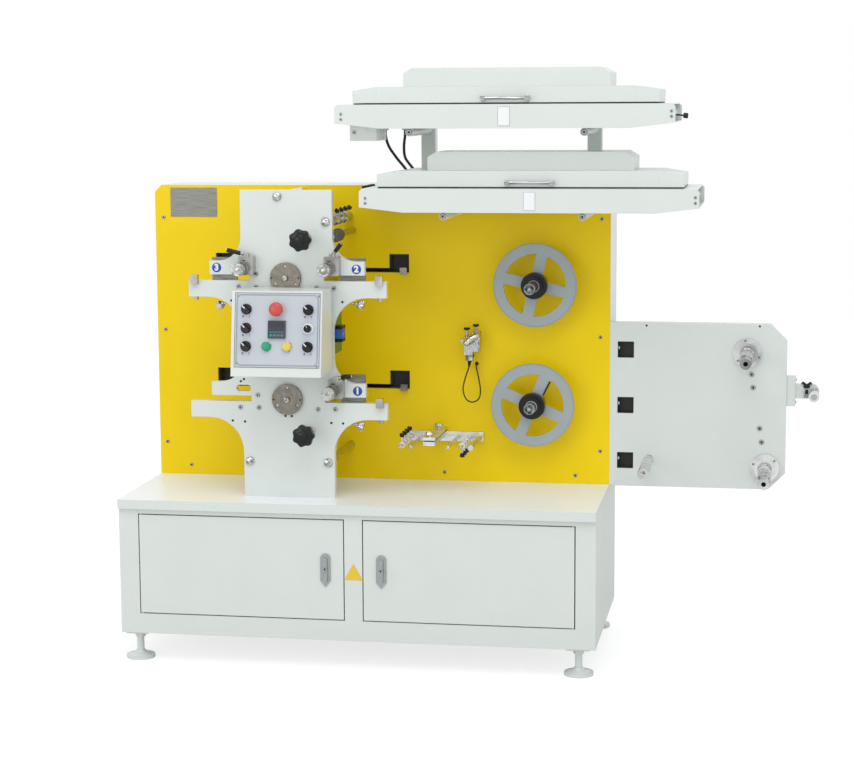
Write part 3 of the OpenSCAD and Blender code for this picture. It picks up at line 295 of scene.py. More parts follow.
def lathe(shape, frame, profile, steps=36, flute=0.0, flute_from=0.0, lobes=0):
    # A turned solid from (radius, height) pairs, whose wide bands may be fluted or lobed
    rings = []
    for number, (radius, height) in enumerate(profile):
        if number and (radius, height) == profile[0]:
            rings.append(rings[0])
            continue
        if radius == 0:
            rings.append([shape.verts.new(frame @ Vector((0, 0, height)))])
            continue
        ring = []
        for k in range(steps):
            a = 2 * pi * k / steps
            wave = 0.5 - 0.5 * cos(lobes * a) if lobes else k % 2
            r = radius * (1 - flute * wave) if radius > flute_from else radius
            ring.append(shape.verts.new(frame @ Vector((r * cos(a), r * sin(a), height))))
        rings.append(ring)
    for low, high in zip(rings, rings[1:]):
        for k in range(steps):
            n = (k + 1) % steps
            quad = [low[k % len(low)], low[n % len(low)], high[n % len(high)], high[k % len(high)]]
            shape.faces.new(list(dict.fromkeys(quad)))
    for ring in (rings[0], rings[-1]):
        if len(ring) > 1 and rings[0] is not rings[-1]:
            shape.faces.new(ring)


def slab(shape, frame, loop, low, high):
    # A flat outline with a thickness, on a frame
    base = [shape.verts.new(frame @ Vector((u, v, low))) for u, v in loop]
    top = [shape.verts.new(frame @ Vector((u, v, high))) for u, v in loop]
    shape.faces.new(base)
    shape.faces.new(top)
    for k in range(len(loop)):
        n = (k + 1) % len(loop)
        shape.faces.new((base[k], base[n], top[n], top[k]))


def box_loop(u0, v0, u1, v1, cut=0.0, steps=1):
    # A rectangle whose corners are cut, or rounded where there is more than one step
    if cut == 0:
        return [(u0, v0), (u1, v0), (u1, v1), (u0, v1)]
    loop = []
    for cu, cv, start in ((u1 - cut, v0 + cut, -90), (u1 - cut, v1 - cut, 0),
                          (u0 + cut, v1 - cut, 90), (u0 + cut, v0 + cut, 180)):
        for k in range(steps + 1):
            a = radians(start + 90 * k / steps)
            loop.append((cu + cut * cos(a), cv + cut * sin(a)))
    return loop


def inset(loop, gap):
    # The loop drawn in by a gap, for loops that run anticlockwise
    out = []
    for k, (u, v) in enumerate(loop):
        pu, pv = loop[k - 1]
        nu, nv = loop[(k + 1) % len(loop)]
        first = Vector((u - pu, v - pv)).normalized()
        second = Vector((nu - u, nv - v)).normalized()
        side = (Vector((-first.y, first.x)) + Vector((-second.y, second.x))).normalized()
        reach = gap / max(side.dot(Vector((-first.y, first.x))), 0.3)
        out.append((u + side.x * reach, v + side.y * reach))
    return out


SHARP = radians(40)


def make_piece(name, shape, material, bevel_mm=0.0, body="press_frame", stands_for=None):
    # Closes a mesh, turns its faces outwards, eases its edges and fixes it to a body
    bmesh.ops.remove_doubles(shape, verts=shape.verts, dist=1e-6)
    bmesh.ops.recalc_face_normals(shape, faces=shape.faces)
    mesh = bpy.data.meshes.new(name)
    shape.to_mesh(mesh)
    shape.free()
    mesh.shade_smooth()
    mesh.set_sharp_from_angle(angle=SHARP)
    mesh.materials.append(material)
    piece = add_object(name, mesh)
    if bevel_mm:
        rounding = piece.modifiers.new("rounding", "BEVEL")
        rounding.width = bevel_mm / 1000
        rounding.segments = 2
        rounding.limit_method = "ANGLE"
        rounding.harden_normals = True
    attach(piece, body)
    if stands_for:
        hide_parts(stands_for)


pale_enamel = moulded("pale_grey_sprayed_enamel", "#d6dcd7", "#dde2de", 0.36, 2.5, 0.03,
                      coat=0.2)
satin_nickel = machined("satin_nickel_plated_zinc", "#9fa4a5", "#b3b7b8", 0.42, 1.5, (1, 1, 0.2))
# Black inside holes, sockets, key slots, bores and louvre mouths is painted shade
hollow_shade = moulded("painted_hollow_shade", "#0c0c0d", "#161617", 0.6, 1.5)
# The worktop's upper face is painted whiter than its edges as painted light from above, so its own
# normal picks the shade
lit_top_enamel, tree, place = blank_material("worktop_enamel_painted_top_light")
spot = add(tree, "ShaderNodeTexCoord")
normal = add(tree, "ShaderNodeSeparateXYZ", links={"Vector": spot.outputs["Normal"]})
shades = add(tree, "ShaderNodeMix", {"data_type": "RGBA"},
             {6: linear("#d9dfdb"), 7: linear("#f4f9fc")}, {0: normal.outputs[2]})
round_edge = add(tree, "ShaderNodeBevel", {"samples": 4}, {"Radius": 0.0012})
dress(tree, {"Roughness": 0.4, "Coat Weight": 0.15, "Coat Roughness": 0.12},
      {"Base Color": shades.outputs[2], "Normal": round_edge.outputs[0]})
coat(pale_enamel, "cabinet_shell", "cabinet_front", "levelling_feet", "left_door", "right_door")
coat(lit_top_enamel, "table_top")
coat(satin_nickel, "left_door_lock", "right_door_lock")

sign_yellow = moulded("yellow_vinyl_sheet", "#e6c02c", "#ecc838", 0.4, 2.0)
shape = bmesh.new()
slab(shape, facing((665.5, 0, 251)), [(-26.5, 0), (26.5, 0), (0, 47)], 0, 0.6)
make_piece("blank_triangle_plate", shape, sign_yellow, 0.2)

# Each key slot is a black ring and slot of painted shade
for side, x in (("left", 587), ("right", 743)):
    shape = bmesh.new()
    key = front(x, -11.6, 282.2)
    lathe(shape, key, [(2.6, 0), (2.6, 0.7), (1.4, 0.5), (0, 0.5)], 20)
    slab(shape, facing((x, -12.2, 282.2)), box_loop(-0.8, -4.4, 0.8, 0), 0, 0.2)
    make_piece(side + "_key_slot", shape, hollow_shade, body=side + "_door")


# Panel and housing: a flat yellow panel in the same sprayed enamel on a pale sheet housing. Its
# cut-outs open into pockets lined in dark grey painted shade, and a bare aluminium plate is
# riveted at its corner.
yellow_enamel = moulded("yellow_sprayed_enamel", "#f2cf00", "#f8d70a", 0.3, 2.5, 0.03,
                        gloss=0.22)
recess_shade_finish = moulded("painted_recess_shade", "#56595c", "#66696c", 0.6, 2.0)
coat(pale_enamel, "housing")
coat(yellow_enamel, "yellow_panel")
plate_aluminium = machined("etched_aluminium_plate", "#7c7d77", "#979890", 0.42, 1.0, (0.02, 1, 1))
coat(plate_aluminium, "nameplate")

PANEL_FACE, RECESS_FACE = 407, 412
UNIT_AXES, UNIT_X, PLATE_MID, COLUMN_HALF = (735, 1072), 464, 466, 114


def pocket_lining(shape, loop, origin, mouth, depth):
    # A thin closed shell that lines a pocket's walls and floor and carries its painted shade
    gap, wall = 0.25, 1.1
    frame = facing(origin)
    outer, inner = inset(loop, gap), inset(loop, wall)

    def ring(points, height):
        return [shape.verts.new(frame @ Vector((u, v, height))) for u, v in points]

    front_out, front_in = ring(outer, -mouth), ring(inner, -mouth)
    back_out, back_in = ring(outer, 0.3 - depth), ring(inner, 1.2 - depth)
    for k in range(len(loop)):
        n = (k + 1) % len(loop)
        shape.faces.new((front_out[k], front_out[n], front_in[n], front_in[k]))
        shape.faces.new((front_out[k], front_out[n], back_out[n], back_out[k]))
        shape.faces.new((front_in[k], front_in[n], back_in[n], back_in[k]))
    shape.faces.new(back_out)
    shape.faces.new(back_in)


# The cut-outs' pockets are lined with dark grey painted shade
shape = bmesh.new()
for axis in UNIT_AXES:
    for side in (-1, 1):
        near, window, far = COLUMN_HALF, 228, 286
        loop = [(near, -9), (far, -9), (far, 44), (window, 44), (window, 4), (near, 4)]
        if side < 0:
            loop = [(-u, v) for u, v in reversed(loop)]
        pocket_lining(shape, loop, (PLATE_MID, RECESS_FACE, axis), 0.2, 60)
make_piece("recess_shade_shells", shape, recess_shade_finish)


# Screws and caps: zinc-plated socket heads, and knurled caps for what a hand turns. Each kind
# is one small solid that is repeated at the points of its set.
def new_tree(name, sizes):
    tree = bpy.data.node_groups.new(name, "GeometryNodeTree")
    tree.interface.new_socket("Places", in_out="INPUT", socket_type="NodeSocketGeometry")
    for label, kind in sizes:
        tree.interface.new_socket(label, in_out="INPUT", socket_type="NodeSocket" + kind)
    tree.interface.new_socket("Solid", in_out="OUTPUT", socket_type="NodeSocketGeometry")
    return tree, add(tree, "NodeGroupInput").outputs


def product(tree, socket, factor):
    return add(tree, "ShaderNodeMath", {"operation": "MULTIPLY"}, {1: factor},
               {0: socket}).outputs[0]


def close_tree(tree, given, solid, shaded=None):
    turned = add(tree, "FunctionNodeEulerToRotation", links={0: given["Turn"]})
    copies = add(tree, "GeometryNodeInstanceOnPoints",
                 links={"Points": given["Places"], "Instance": solid,
                        "Rotation": turned.outputs[0]})
    real = add(tree, "GeometryNodeRealizeInstances", links={0: copies.outputs[0]})
    done = add(tree, "GeometryNodeSetMaterial", links={"Geometry": real.outputs[0],
                                                       "Material": given["Finish"]})
    if shaded:
        mark = add(tree, "GeometryNodeInputNamedAttribute", {"data_type": "BOOLEAN"},
                   {"Name": shaded})
        done = add(tree, "GeometryNodeSetMaterial",
                   links={"Geometry": done.outputs[0], "Selection": mark.outputs["Attribute"],
                          "Material": given["Shade"]})
    add(tree, "NodeGroupOutput", links={0: done.outputs[0]})


socket_head, given = new_tree("socket_head_screws", [
    ("Radius", "Float"), ("Height", "Float"), ("Socket", "Float"), ("Sides", "Int"),
    ("Turn", "Vector"), ("Finish", "Material"), ("Shade", "Material")])
blank = add(socket_head, "GeometryNodeMeshCylinder",
            links={"Vertices": given["Sides"], "Radius": given["Radius"],
                   "Depth": given["Height"]})
crown = add(socket_head, "GeometryNodeExtrudeMesh",
            links={"Mesh": blank.outputs["Mesh"], "Selection": blank.outputs["Top"],
                   "Offset Scale": product(socket_head, given["Height"], 0.4)})
taper = add(socket_head, "GeometryNodeScaleElements", values={"Scale": 0.78},
            links={"Geometry": crown.outputs["Mesh"], "Selection": crown.outputs["Top"]})
rim = add(socket_head, "GeometryNodeExtrudeMesh", values={"Offset Scale": 0.0},
          links={"Mesh": taper.outputs[0], "Selection": crown.outputs["Top"]})
mouth = add(socket_head, "GeometryNodeScaleElements",
            links={"Geometry": rim.outputs["Mesh"], "Selection": rim.outputs["Top"],
                   "Scale": given["Socket"]})
well = add(socket_head, "GeometryNodeExtrudeMesh",
           links={"Mesh": mouth.outputs[0], "Selection": rim.outputs["Top"],
                  "Offset Scale": product(socket_head, given["Height"], -0.7)})
hollow = add(socket_head, "FunctionNodeBooleanMath", {"operation": "OR"},
             links={0: well.outputs["Top"], 1: well.outputs["Side"]})
marked = add(socket_head, "GeometryNodeStoreNamedAttribute",
             {"data_type": "BOOLEAN", "domain": "FACE"}, {"Name": "hollow"},
             {"Geometry": well.outputs["Mesh"], "Value": hollow.outputs[0]})
close_tree(socket_head, given, marked.outputs[0], "hollow")

knurled_cap, given = new_tree("knurled_caps", [
    ("Radius", "Float"), ("Height", "Float"), ("Knurls", "Int"), ("Turn", "Vector"),
    ("Finish", "Material")])
star = add(knurled_cap, "GeometryNodeCurveStar",
           links={"Points": given["Knurls"], "Outer Radius": given["Radius"],
                  "Inner Radius": product(knurled_cap, given["Radius"], 0.9)})
sheet = add(knurled_cap, "GeometryNodeFillCurve", {"mode": "NGONS"},
            links={0: star.outputs["Curve"]})
bottom = add(knurled_cap, "GeometryNodeFlipFaces", links={0: sheet.outputs[0]})
wall = add(knurled_cap, "GeometryNodeExtrudeMesh",
           links={"Mesh": sheet.outputs[0],
                  "Offset Scale": product(knurled_cap, given["Height"], 0.85)})
edge = add(knurled_cap, "GeometryNodeExtrudeMesh",
           links={"Mesh": wall.outputs["Mesh"], "Selection": wall.outputs["Top"],
                  "Offset Scale": product(knurled_cap, given["Height"], 0.15)})
eased = add(knurled_cap, "GeometryNodeScaleElements", values={"Scale": 0.86},
            links={"Geometry": edge.outputs["Mesh"], "Selection": edge.outputs["Top"]})
both = add(knurled_cap, "GeometryNodeJoinGeometry")
knurled_cap.links.new(eased.outputs[0], both.inputs[0])
knurled_cap.links.new(bottom.outputs[0], both.inputs[0])
closed = add(knurled_cap, "GeometryNodeMergeByDistance", values={"Distance": 0.00001},
             links={0: both.outputs[0]})
close_tree(knurled_cap, given, closed.outputs[0])

TO_FRONT, TO_RIGHT = (pi / 2, 0, 0), (0, pi / 2, 0)


def repeat(name, tree, places, values):
    # Grows a tree's solid at a set of places and keeps the result as a plain mesh
    points = bpy.data.meshes.new(name + "_points")
    points.from_pydata([at(*place) for place in places], [], [])
    seed = add_object(name + "_points", points)
    grower = seed.modifiers.new(name, "NODES")
    grower.node_group = tree
    for socket in tree.interface.items_tree:
        if socket.in_out == "INPUT" and socket.name in values:
            grower[socket.identifier] = values[socket.name]
    ready = seed.evaluated_get(bpy.context.evaluated_depsgraph_get())
    mesh = bpy.data.meshes.new_from_object(ready)
    seed.modifiers.clear()
    bpy.data.objects.remove(seed)
    while len(mesh.materials) and mesh.materials[0] is None:
        mesh.materials.pop(index=0)
    piece = add_object(name, mesh)
    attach(piece, "press_frame")


def screws(name, places, radius_mm, height_mm, turn=TO_FRONT, socket=0.62, finish=None):
    repeat(name, socket_head, places,
           {"Radius": radius_mm / 1000, "Height": height_mm / 1000, "Socket": socket,
            "Sides": 18, "Turn": turn, "Finish": finish or zinc_plate, "Shade": hollow_shade})


def caps(name, places, radius_mm, height_mm, knurls, turn, finish):
    repeat(name, knurled_cap, places,
           {"Radius": radius_mm / 1000, "Height": height_mm / 1000, "Knurls": knurls,
            "Turn": turn, "Finish": finish})


zinc_plate = machined("zinc_plated_steel", "#88898a", "#c6c7c6", 0.26, 1.5, (1, 1, 1))
screws("panel_screws", [(x, PANEL_FACE, z) for x, z in (
    (25, 1219), (24, 890), (22, 556), (94, 488), (853, 484), (1233, 484), (1304, 556),
    (1303, 884), (1305, 1219))], 5.5, 3)
screws("nameplate_rivets", [(x, 405.5, z) for x in (52, 181) for z in (1226, 1300)], 2, 1.2,
       socket=0.3)


# Cross plate: a thick cast plate with rounded slots in pale enamel, with domed steel screws,
# small drilled holes, thumb screws at its arms and an enamelled number disc for each unit.
def figures(shape, frame, words, size, low, high):
    letters = bpy.data.curves.new("figures", "FONT")
    letters.body, letters.size, letters.extrude = words, size, (high - low) / 2
    letters.offset = size * 0.055
    letters.align_x = letters.align_y = "CENTER"
    holder = add_object("figures", letters)
    ready = holder.evaluated_get(bpy.context.evaluated_depsgraph_get())
    mesh = bpy.data.meshes.new_from_object(ready)
    bpy.data.objects.remove(holder)
    mesh.transform(frame @ Matrix.Translation((0, 0, (low + high) / 2)))
    shape.from_mesh(mesh)


PLATE_FACE = 97
coat(pale_enamel, "cross_plate")
screws("cross_plate_screws", [(x, PLATE_FACE, z) for x, z in (
    (380, 1083), (329, 1047), (379, 1047), (550, 1046), (599, 1045), (379, 745), (329, 710),
    (382, 710), (550, 708), (599, 709))], 6.5, 4, socket=0.45)

# The small drilled holes are black discs of painted shade
shape = bmesh.new()
for x, z in ((331, 783), (340, 789), (306, 672), (341, 670), (587, 671), (620, 670), (308, 1008),
             (622, 1007), (274, 1003), (457, 688), (475, 688)):
    lathe(shape, front(x, 97.2, z),
          [(3.4, 0), (3.4, 0.5), (2.8, 0.4), (0, 0.3)], 16)
make_piece("drilled_holes", shape, hollow_shade)

disc_enamel = moulded("blue_vitreous_enamel", "#24429a", "#2d4fac", 0.2, 2.0, 0.01)
figure_enamel = moulded("white_vitreous_enamel", "#e6e9ea", "#eef0f1", 0.25, 2.0, 0.01)
discs, digits = bmesh.new(), bmesh.new()
for x, z, number in ((268, 1099, "3"), (662, 1097, "2"), (662, 761, "1")):
    lathe(discs, front(x, PLATE_FACE, z),
          [(13, 0), (13, 0.9), (12.2, 1.3), (0, 1.3)], 40)
    figures(digits, facing((x, PLATE_FACE, z)), number, 24, 1.1, 1.6)
make_piece("unit_number_discs", discs, disc_enamel)
make_piece("unit_numbers", digits, figure_enamel)

# The bright metals' dark and light shades are partly polish marks and partly painted reflection
bright_zinc = machined("bright_zinc_plate", "#b2b5b5", "#f0f1f0", 0.27, 3.0, (0.03, 1, 0.03))
bright_steel = machined("bright_turned_steel", "#8c8d8d", "#e4e4e2", 0.17, 2.5, (0.3, 1, 0.3))
shape = bmesh.new()
for head, end in (((266, 991), (289, 999)), ((680, 996), (649, 1003)), ((676, 659), (648, 667))):
    reach = dist(head, end)
    lathe(shape, stand((end[0], 107, end[1]), (head[0] - end[0], 0, head[1] - end[1])),
          [(0, -4), (2.8, -4), (2.8, reach - 19), (7.4, reach - 19), (8.6, reach - 15),
           (11.6, reach - 13), (12.6, reach - 2), (11.4, reach), (0, reach)], 40, 0.1, 9)
make_piece("arm_thumb_screws", shape, bright_steel)


# Print units: turned steel drums, tie rods and adjusters round them, blackened bearing covers,
# and moulded black star knobs. Turning leaves fine rings, and their light and dark bands are
# painted reflection.
turned_steel = machined("turned_steel", "#8b8b87", "#d0cfca", 0.22, 2.5, (0.03, 1, 0.03))
ground_steel = machined("ground_steel", "#6c6b66", "#93918a", 0.38, 2.0, (0.05, 1, 1))
cover_steel = machined("oil_blackened_steel", "#817c73", "#918b81", 0.34, 1.2, (0.1, 1, 0.1))
black_abs = moulded("moulded_black_abs", "#131415", "#1e1f21", 0.3, 1.0, 0.02, coat=0.4,
                    gloss=0.12)
coat(turned_steel, "unit_adjusters", "unit_latches")
coat(ground_steel, "slide_plates")
coat(cover_steel, "bearing_covers")


def thumb_collar(steel, black, place, rod_radius, collar_radius, lean):
    # A clamped collar on a rod, its thumb screw's stem, and the screw's black cap
    x, y, z = place
    lathe(steel, front(x, y + 8, z),
          [(rod_radius - 1, 0), (collar_radius - 0.8, 0), (collar_radius, 0.8),
           (collar_radius, 7.2), (collar_radius - 0.8, 8), (rod_radius - 1, 8),
           (rod_radius - 1, 0)], 40)
    a = radians(lean)
    screw = stand((x, y + 4, z), (sin(a), 0, cos(a)))
    lathe(steel, screw, [(0, rod_radius), (2.4, rod_radius), (2.4, rod_radius + 19),
                         (0, rod_radius + 19)], 16)
    lathe(black, screw,
          [(0, rod_radius + 16), (4, rod_radius + 16), (6.8, rod_radius + 18.5),
           (7, rod_radius + 26), (6, rod_radius + 27.5), (0, rod_radius + 27.5)], 28, 0.08, 6.5)


steel, black, rubber = bmesh.new(), bmesh.new(), bmesh.new()
for x, z in ((442, 1295), (577, 1226), (354, 559), (577, 559)):
    lathe(steel, front(x, PANEL_FACE, z),
          [(0, 0), (12.5, 0), (12.5, 290), (0, 290)], 40)
    lathe(steel, front(x, PLATE_FACE, z),
          [(0, 0), (12.5, 0), (12.5, 3), (12, 4.6), (10.8, 6.1), (8.8, 7.3), (6.2, 8.2),
           (3.2, 8.8), (0, 9)], 40)
for k in range(4):
    thumb_collar(steel, black, (577, 150 + 55 * k, 1226), 12.5, 16.5, 36)
    thumb_collar(steel, black, (656, 240 + 40 * k, 1282), 9, 13, 0)
lathe(steel, front(656, PANEL_FACE, 1282),
      [(0, 0), (9, 0), (9, 176), (8.2, 177), (0, 177)], 32)
make_piece("tie_rods_and_collars", steel, bright_steel, stands_for="tie_rods")
make_piece("tie_rod_thumb_caps", black, black_abs)

steel = bmesh.new()
for axis in UNIT_AXES:
    lathe(steel, front(UNIT_X, PANEL_FACE, axis),
          [(0, 0), (20, 0), (20, 15), (60, 15), (62, 17), (83.5, 17), (85, 18.5),
           (85, 262), (83.5, 263.5), (62, 263.5), (60, 275), (20, 275), (20, 290), (0, 290)],
          96)
lathe(steel, front(589, PANEL_FACE, 1184), [(0, 0), (9, 0), (9, 289), (0, 289)], 32)
make_piece("drums_and_nip_shaft", steel, turned_steel, stands_for="impression_drums")
lathe(rubber, front(589, 212, 1184),
      [(9, 0), (16.8, 0), (18, 1.2), (18, 93), (16.8, 94.2), (9, 94.2), (9, 0)], 48)
nip_rubber = moulded("ground_nitrile_rubber", "#4b4b4a", "#575756", 0.55, 1.5)
make_piece("nip_roller_cover", rubber, nip_rubber)

shape = bmesh.new()
for axis in UNIT_AXES:
    lathe(shape, front(UNIT_X, 82.4, axis),
          [(0, 0), (7.8, 0), (7.8, 2.2), (6.4, 3.6), (3.4, 3.6), (3.0, 1.2), (0, 1.2)], 32)
    for k in range(3):
        a = radians(90 + 120 * k)
        lathe(shape, front(UNIT_X + 32.7 * cos(a), 92, axis + 32.7 * sin(a)),
              [(0, 0), (3.9, 0), (3.9, 3.2), (3.5, 3.6), (1.9, 3.6), (1.9, 1.4), (0, 1.4)], 20)
make_piece("cover_screws", shape, bright_steel)

# The covers' pin holes are black discs of painted shade
shape = bmesh.new()
for axis in UNIT_AXES:
    for x in (426, 502):
        lathe(shape, front(x, 87.2, axis),
              [(2.6, 0), (2.6, 0.5), (2, 0.4), (0, 0.4)], 16)
make_piece("cover_pin_holes", shape, hollow_shade)

knobs, collars = bmesh.new(), bmesh.new()
for x, z in ((524, 1181), (526, 646)):
    axle = front(x, PLATE_FACE, z)
    lathe(knobs, axle,
          [(12, 64.5), (24, 65), (28.6, 66.5), (31, 70), (31.4, 78), (31, 86), (28.6, 89.5),
           (24.5, 91), (15.2, 91.2), (14, 92), (13.6, 95.2), (12.6, 96), (0, 96)],
          84, 0.13, 16, 7)
    lathe(collars, axle,
          [(15, 0), (15, 12.6), (13.8, 14), (9.4, 14.2), (8.2, 15.4), (8.2, 65), (0, 65)], 40)
make_piece("star_knob_heads", knobs, black_abs, stands_for="star_knobs")
make_piece("star_knob_collars", collars, bright_steel)

sleeves, grips = bmesh.new(), bmesh.new()
for x, z, lean, length in ((346, 1099, -77, 58), (586, 1099, 38, 42), (594, 762, 82, 44)):
    spin = front(x, PLATE_FACE, z)
    lathe(sleeves, spin, [(0, 34.2), (18, 34.2), (18.6, 35), (18.6, 45.4), (17.8, 46),
                          (0, 46)], 72, 0.05, 18.2)
    lathe(sleeves, spin, [(0, 51.8), (18, 51.8), (18.6, 52.6), (18.6, 74.6), (17, 76.2),
                          (12.5, 76.2), (11.5, 74.4), (7, 74.4), (6.4, 77.2), (5.4, 78),
                          (0, 78)], 72, 0.05, 18.2)
    a = radians(lean)
    start, end = 0.3 * length, length
    lathe(grips, stand((x + 14.35, 72, z + 37.8), (sin(a), 0, cos(a))),
          [(0, start), (4.8, start), (5.9, start + 1.5), (6.2, end - 3), (5, end - 0.6),
           (3, end + 0.4), (0, end + 0.5)], 24)
make_piece("adjuster_sleeves", sleeves, bright_steel)
make_piece("lever_grips", grips, black_abs)

board_lacquer = moulded("green_lacquered_board", "#3f7434", "#4c8340", 0.35, 2.0)
relay_blue = moulded("blue_nylon_terminal", "#2456a8", "#2c62b8", 0.4, 1.0)
coat(board_lacquer, "relay_board")
shape = bmesh.new()
side_face = facing((587.6, 158, 914), (0, 1, 0))
for v0, v1 in ((-22.4, -13), (13, 22.4)):
    slab(shape, side_face, box_loop(-21.4, v0, 21.4, v1), 0, 24)
    for u in range(-18, 19, 6):
        slab(shape, side_face, box_loop(u - 1.6, v0 + 1.5, u + 1.6, v1 - 1.5), 24, 24.8)
make_piece("relay_sockets", shape, black_abs, 0.3)
shape = bmesh.new()
slab(shape, side_face, box_loop(-21.6, -13.2, 21.6, 13.2), 0, 24.2)
make_piece("relay_case", shape, relay_blue, 0.8)
screws("relay_screws", [(611.8, 158 + u, 914) for u in (-10, 10)], 3.4, 2, TO_RIGHT)


# Control box: pale enamelled sheet with a slanted face. On it lies a printed aluminium sheet
# with a red mushroom stop, push buttons in bright rings, black switches and a controller.
SLANT = radians(8.579)
RISE = (0, sin(SLANT), cos(SLANT))
CORNER, SHEET = (345, -63, 818), 1.5
face = facing(CORNER, ACROSS, RISE)


def on_face(u, v):
    # A point on the printed sheet, in press millimetres
    x, y, z = CORNER
    return (x + u, y + v * RISE[1] - SHEET * RISE[2], z + v * RISE[2] + SHEET * RISE[1])


def on_face_frame(u, v):
    return face @ Matrix.Translation((u, v, 0))


def line_ring(shape, frame, loop, width, low, high):
    inner = inset(loop, width)
    rows = [[shape.verts.new(frame @ Vector((u, v, w))) for u, v in points]
            for points, w in ((loop, low), (loop, high), (inner, high), (inner, low))]
    for k in range(len(loop)):
        n = (k + 1) % len(loop)
        for a, b in zip(rows, rows[1:] + rows[:1]):
            shape.faces.new((a[k], a[n], b[n], b[k]))


panel_print = moulded("printed_aluminium_sheet", "#bcc3ca", "#c5cbd1", 0.42, 1.5, 0.01)
print_ink = moulded("dark_grey_printing_ink", "#4c5157", "#565b61", 0.5, 1.0, 0.005)
coat(pale_enamel, "control_box")
coat(panel_print, "control_panel")
coat(black_abs, "selector_switches")
screws("panel_sheet_screws", [on_face(u, v) for u, v in ((17, 220), (241, 219), (16, 36),
                                                         (238, 31))],
       3.5, 2, (pi / 2 - SLANT, 0, 0), 0.5)

BUTTON_ROW, STOP, POT = 82, (127, 182), (212.5, 131)
INK = 1.45, 1.62
SELECTORS = [(41.5, 182), (41.5, 131), (41.5, 82), (212.5, 182), (212.5, 82)]
lines = bmesh.new()
line_ring(lines, face, box_loop(9.2, 25.2, 244.8, 226.8), 1.2, *INK)
line_ring(lines, face, box_loop(14, 30, 240, 222, 9), 1.0, *INK)
line_ring(lines, face, box_loop(16.4, 32.4, 237.6, 219.6, 8.4), 0.5, *INK)
for u, v in SELECTORS:
    figures(lines, on_face_frame(u - 9, v - 19.5), "0", 8, *INK)
    figures(lines, on_face_frame(u + 9, v - 19.5), "1", 8, *INK)
# Eleven ticks stand round the potentiometer's sweep of 270 degrees
for k in range(11):
    a = radians(225 - 27 * k)
    u, v = cos(a), sin(a)
    tick = on_face_frame(POT[0] + 18 * u, POT[1] + 18 * v) @ Matrix.Rotation(a, 4, "Z")
    slab(lines, tick, box_loop(-1.6, -0.3, 1.6, 0.3), *INK)
make_piece("panel_print_lines", lines, print_ink)

shape = bmesh.new()
for u in (98.5, 155.5):
    lathe(shape, on_face_frame(u, BUTTON_ROW),
          [(0, 1.4), (14.6, 1.4), (14.6, 3.2), (13.8, 4.2), (0, 4.2)], 40)
lathe(shape, on_face_frame(*STOP), [(0, 1.4), (15, 1.4), (15, 3.6), (14, 4.5), (0, 4.5)], 40)
make_piece("button_rings", shape, bright_steel)

red_abs = moulded("moulded_red_abs", "#c5453e", "#ce5048", 0.28, 1.0, 0.01)
shape = bmesh.new()
lathe(shape, on_face_frame(*STOP),
      [(0, 4.4), (12, 4.4), (12, 15.5), (16.6, 15.5), (18.4, 16.4), (19, 18), (19, 22.4),
       (18.4, 25), (16.8, 27.2), (13.8, 28.8), (9, 29.7), (4, 30), (0, 30)], 56)
make_piece("stop_mushroom", shape, red_abs, stands_for="emergency_stop")
for name, u, slot_name, dark, light in (
        ("green_button", 98.5, "green_plastic", "#15956d", "#1ba277"),
        ("yellow_button", 155.5, "yellow_paint", "#e0c050", "#e8ca5c")):
    shape = bmesh.new()
    lathe(shape, on_face_frame(u, BUTTON_ROW),
          [(0, 4), (13, 4), (13, 6.4), (12.2, 7.2), (12, 9.4), (11.2, 10.8), (8, 11.6),
           (4, 11.9), (0, 12)], 40)
    make_piece(name, shape, moulded("moulded_" + name, dark, light, 0.28, 1.0, 0.01),
               stands_for="push_buttons")

pointer_white = moulded("white_filled_line", "#e4e6e6", "#eceeee", 0.5, 1.0, 0.005)
shape = bmesh.new()
for u, v in SELECTORS:
    line = on_face_frame(u, v) @ Matrix.Rotation(radians(135), 4, "Z")
    slab(shape, line, box_loop(1.5, -1.5, 12.1, 1.5), 18.3, 18.8)
slab(shape, on_face_frame(*POT) @ Matrix.Rotation(radians(110), 4, "Z"),
     box_loop(2, -0.6, 8.6, 0.6), 17.2, 17.6)
lathe(shape, on_face_frame(*POT),
      [(0, 1.4), (14.7, 1.4), (14.7, 3.4), (13.6, 4.2), (0, 4.2)], 40)
make_piece("switch_pointers", shape, pointer_white)
shape = bmesh.new()
lathe(shape, on_face_frame(*POT),
      [(0, 4.1), (10.6, 4.1), (10.6, 12), (9.2, 17), (8.6, 17.4), (0, 17.4)], 48, 0.07, 9)
make_piece("potentiometer_knob", shape, black_abs)

controller_abs = moulded("blue_grey_abs", "#3a434d", "#444d57", 0.4, 1.0, 0.01)
display_film = moulded("smoked_display_film", "#20262c", "#262c33", 0.18, 2.0, 0.003)
teal_keys = moulded("teal_silicone_keys", "#218a7c", "#2b9688", 0.5, 1.0, 0.01)
grey_keys = moulded("grey_silicone_keys", "#6a727a", "#757d85", 0.5, 1.0, 0.01)
coat(controller_abs, "temperature_controller")
shape = bmesh.new()
line_ring(shape, face, box_loop(103, 104, 151, 152, 2.5, 4), 2.4, 7.3, 9)
slab(shape, face, box_loop(106.5, 117, 147.5, 119, 0), 7.4, 7.9)
make_piece("controller_bezel", shape, controller_abs, 0.4)
shape = bmesh.new()
slab(shape, face, box_loop(107, 131, 147, 148, 1.2, 2), 7.4, 7.8)
slab(shape, face, box_loop(107, 123.5, 147, 129.5, 0.8, 2), 7.4, 7.7)
make_piece("controller_display", shape, display_film)
teal, grey = bmesh.new(), bmesh.new()
slab(teal, face, box_loop(107, 120, 147, 122.2), 7.4, 7.9)
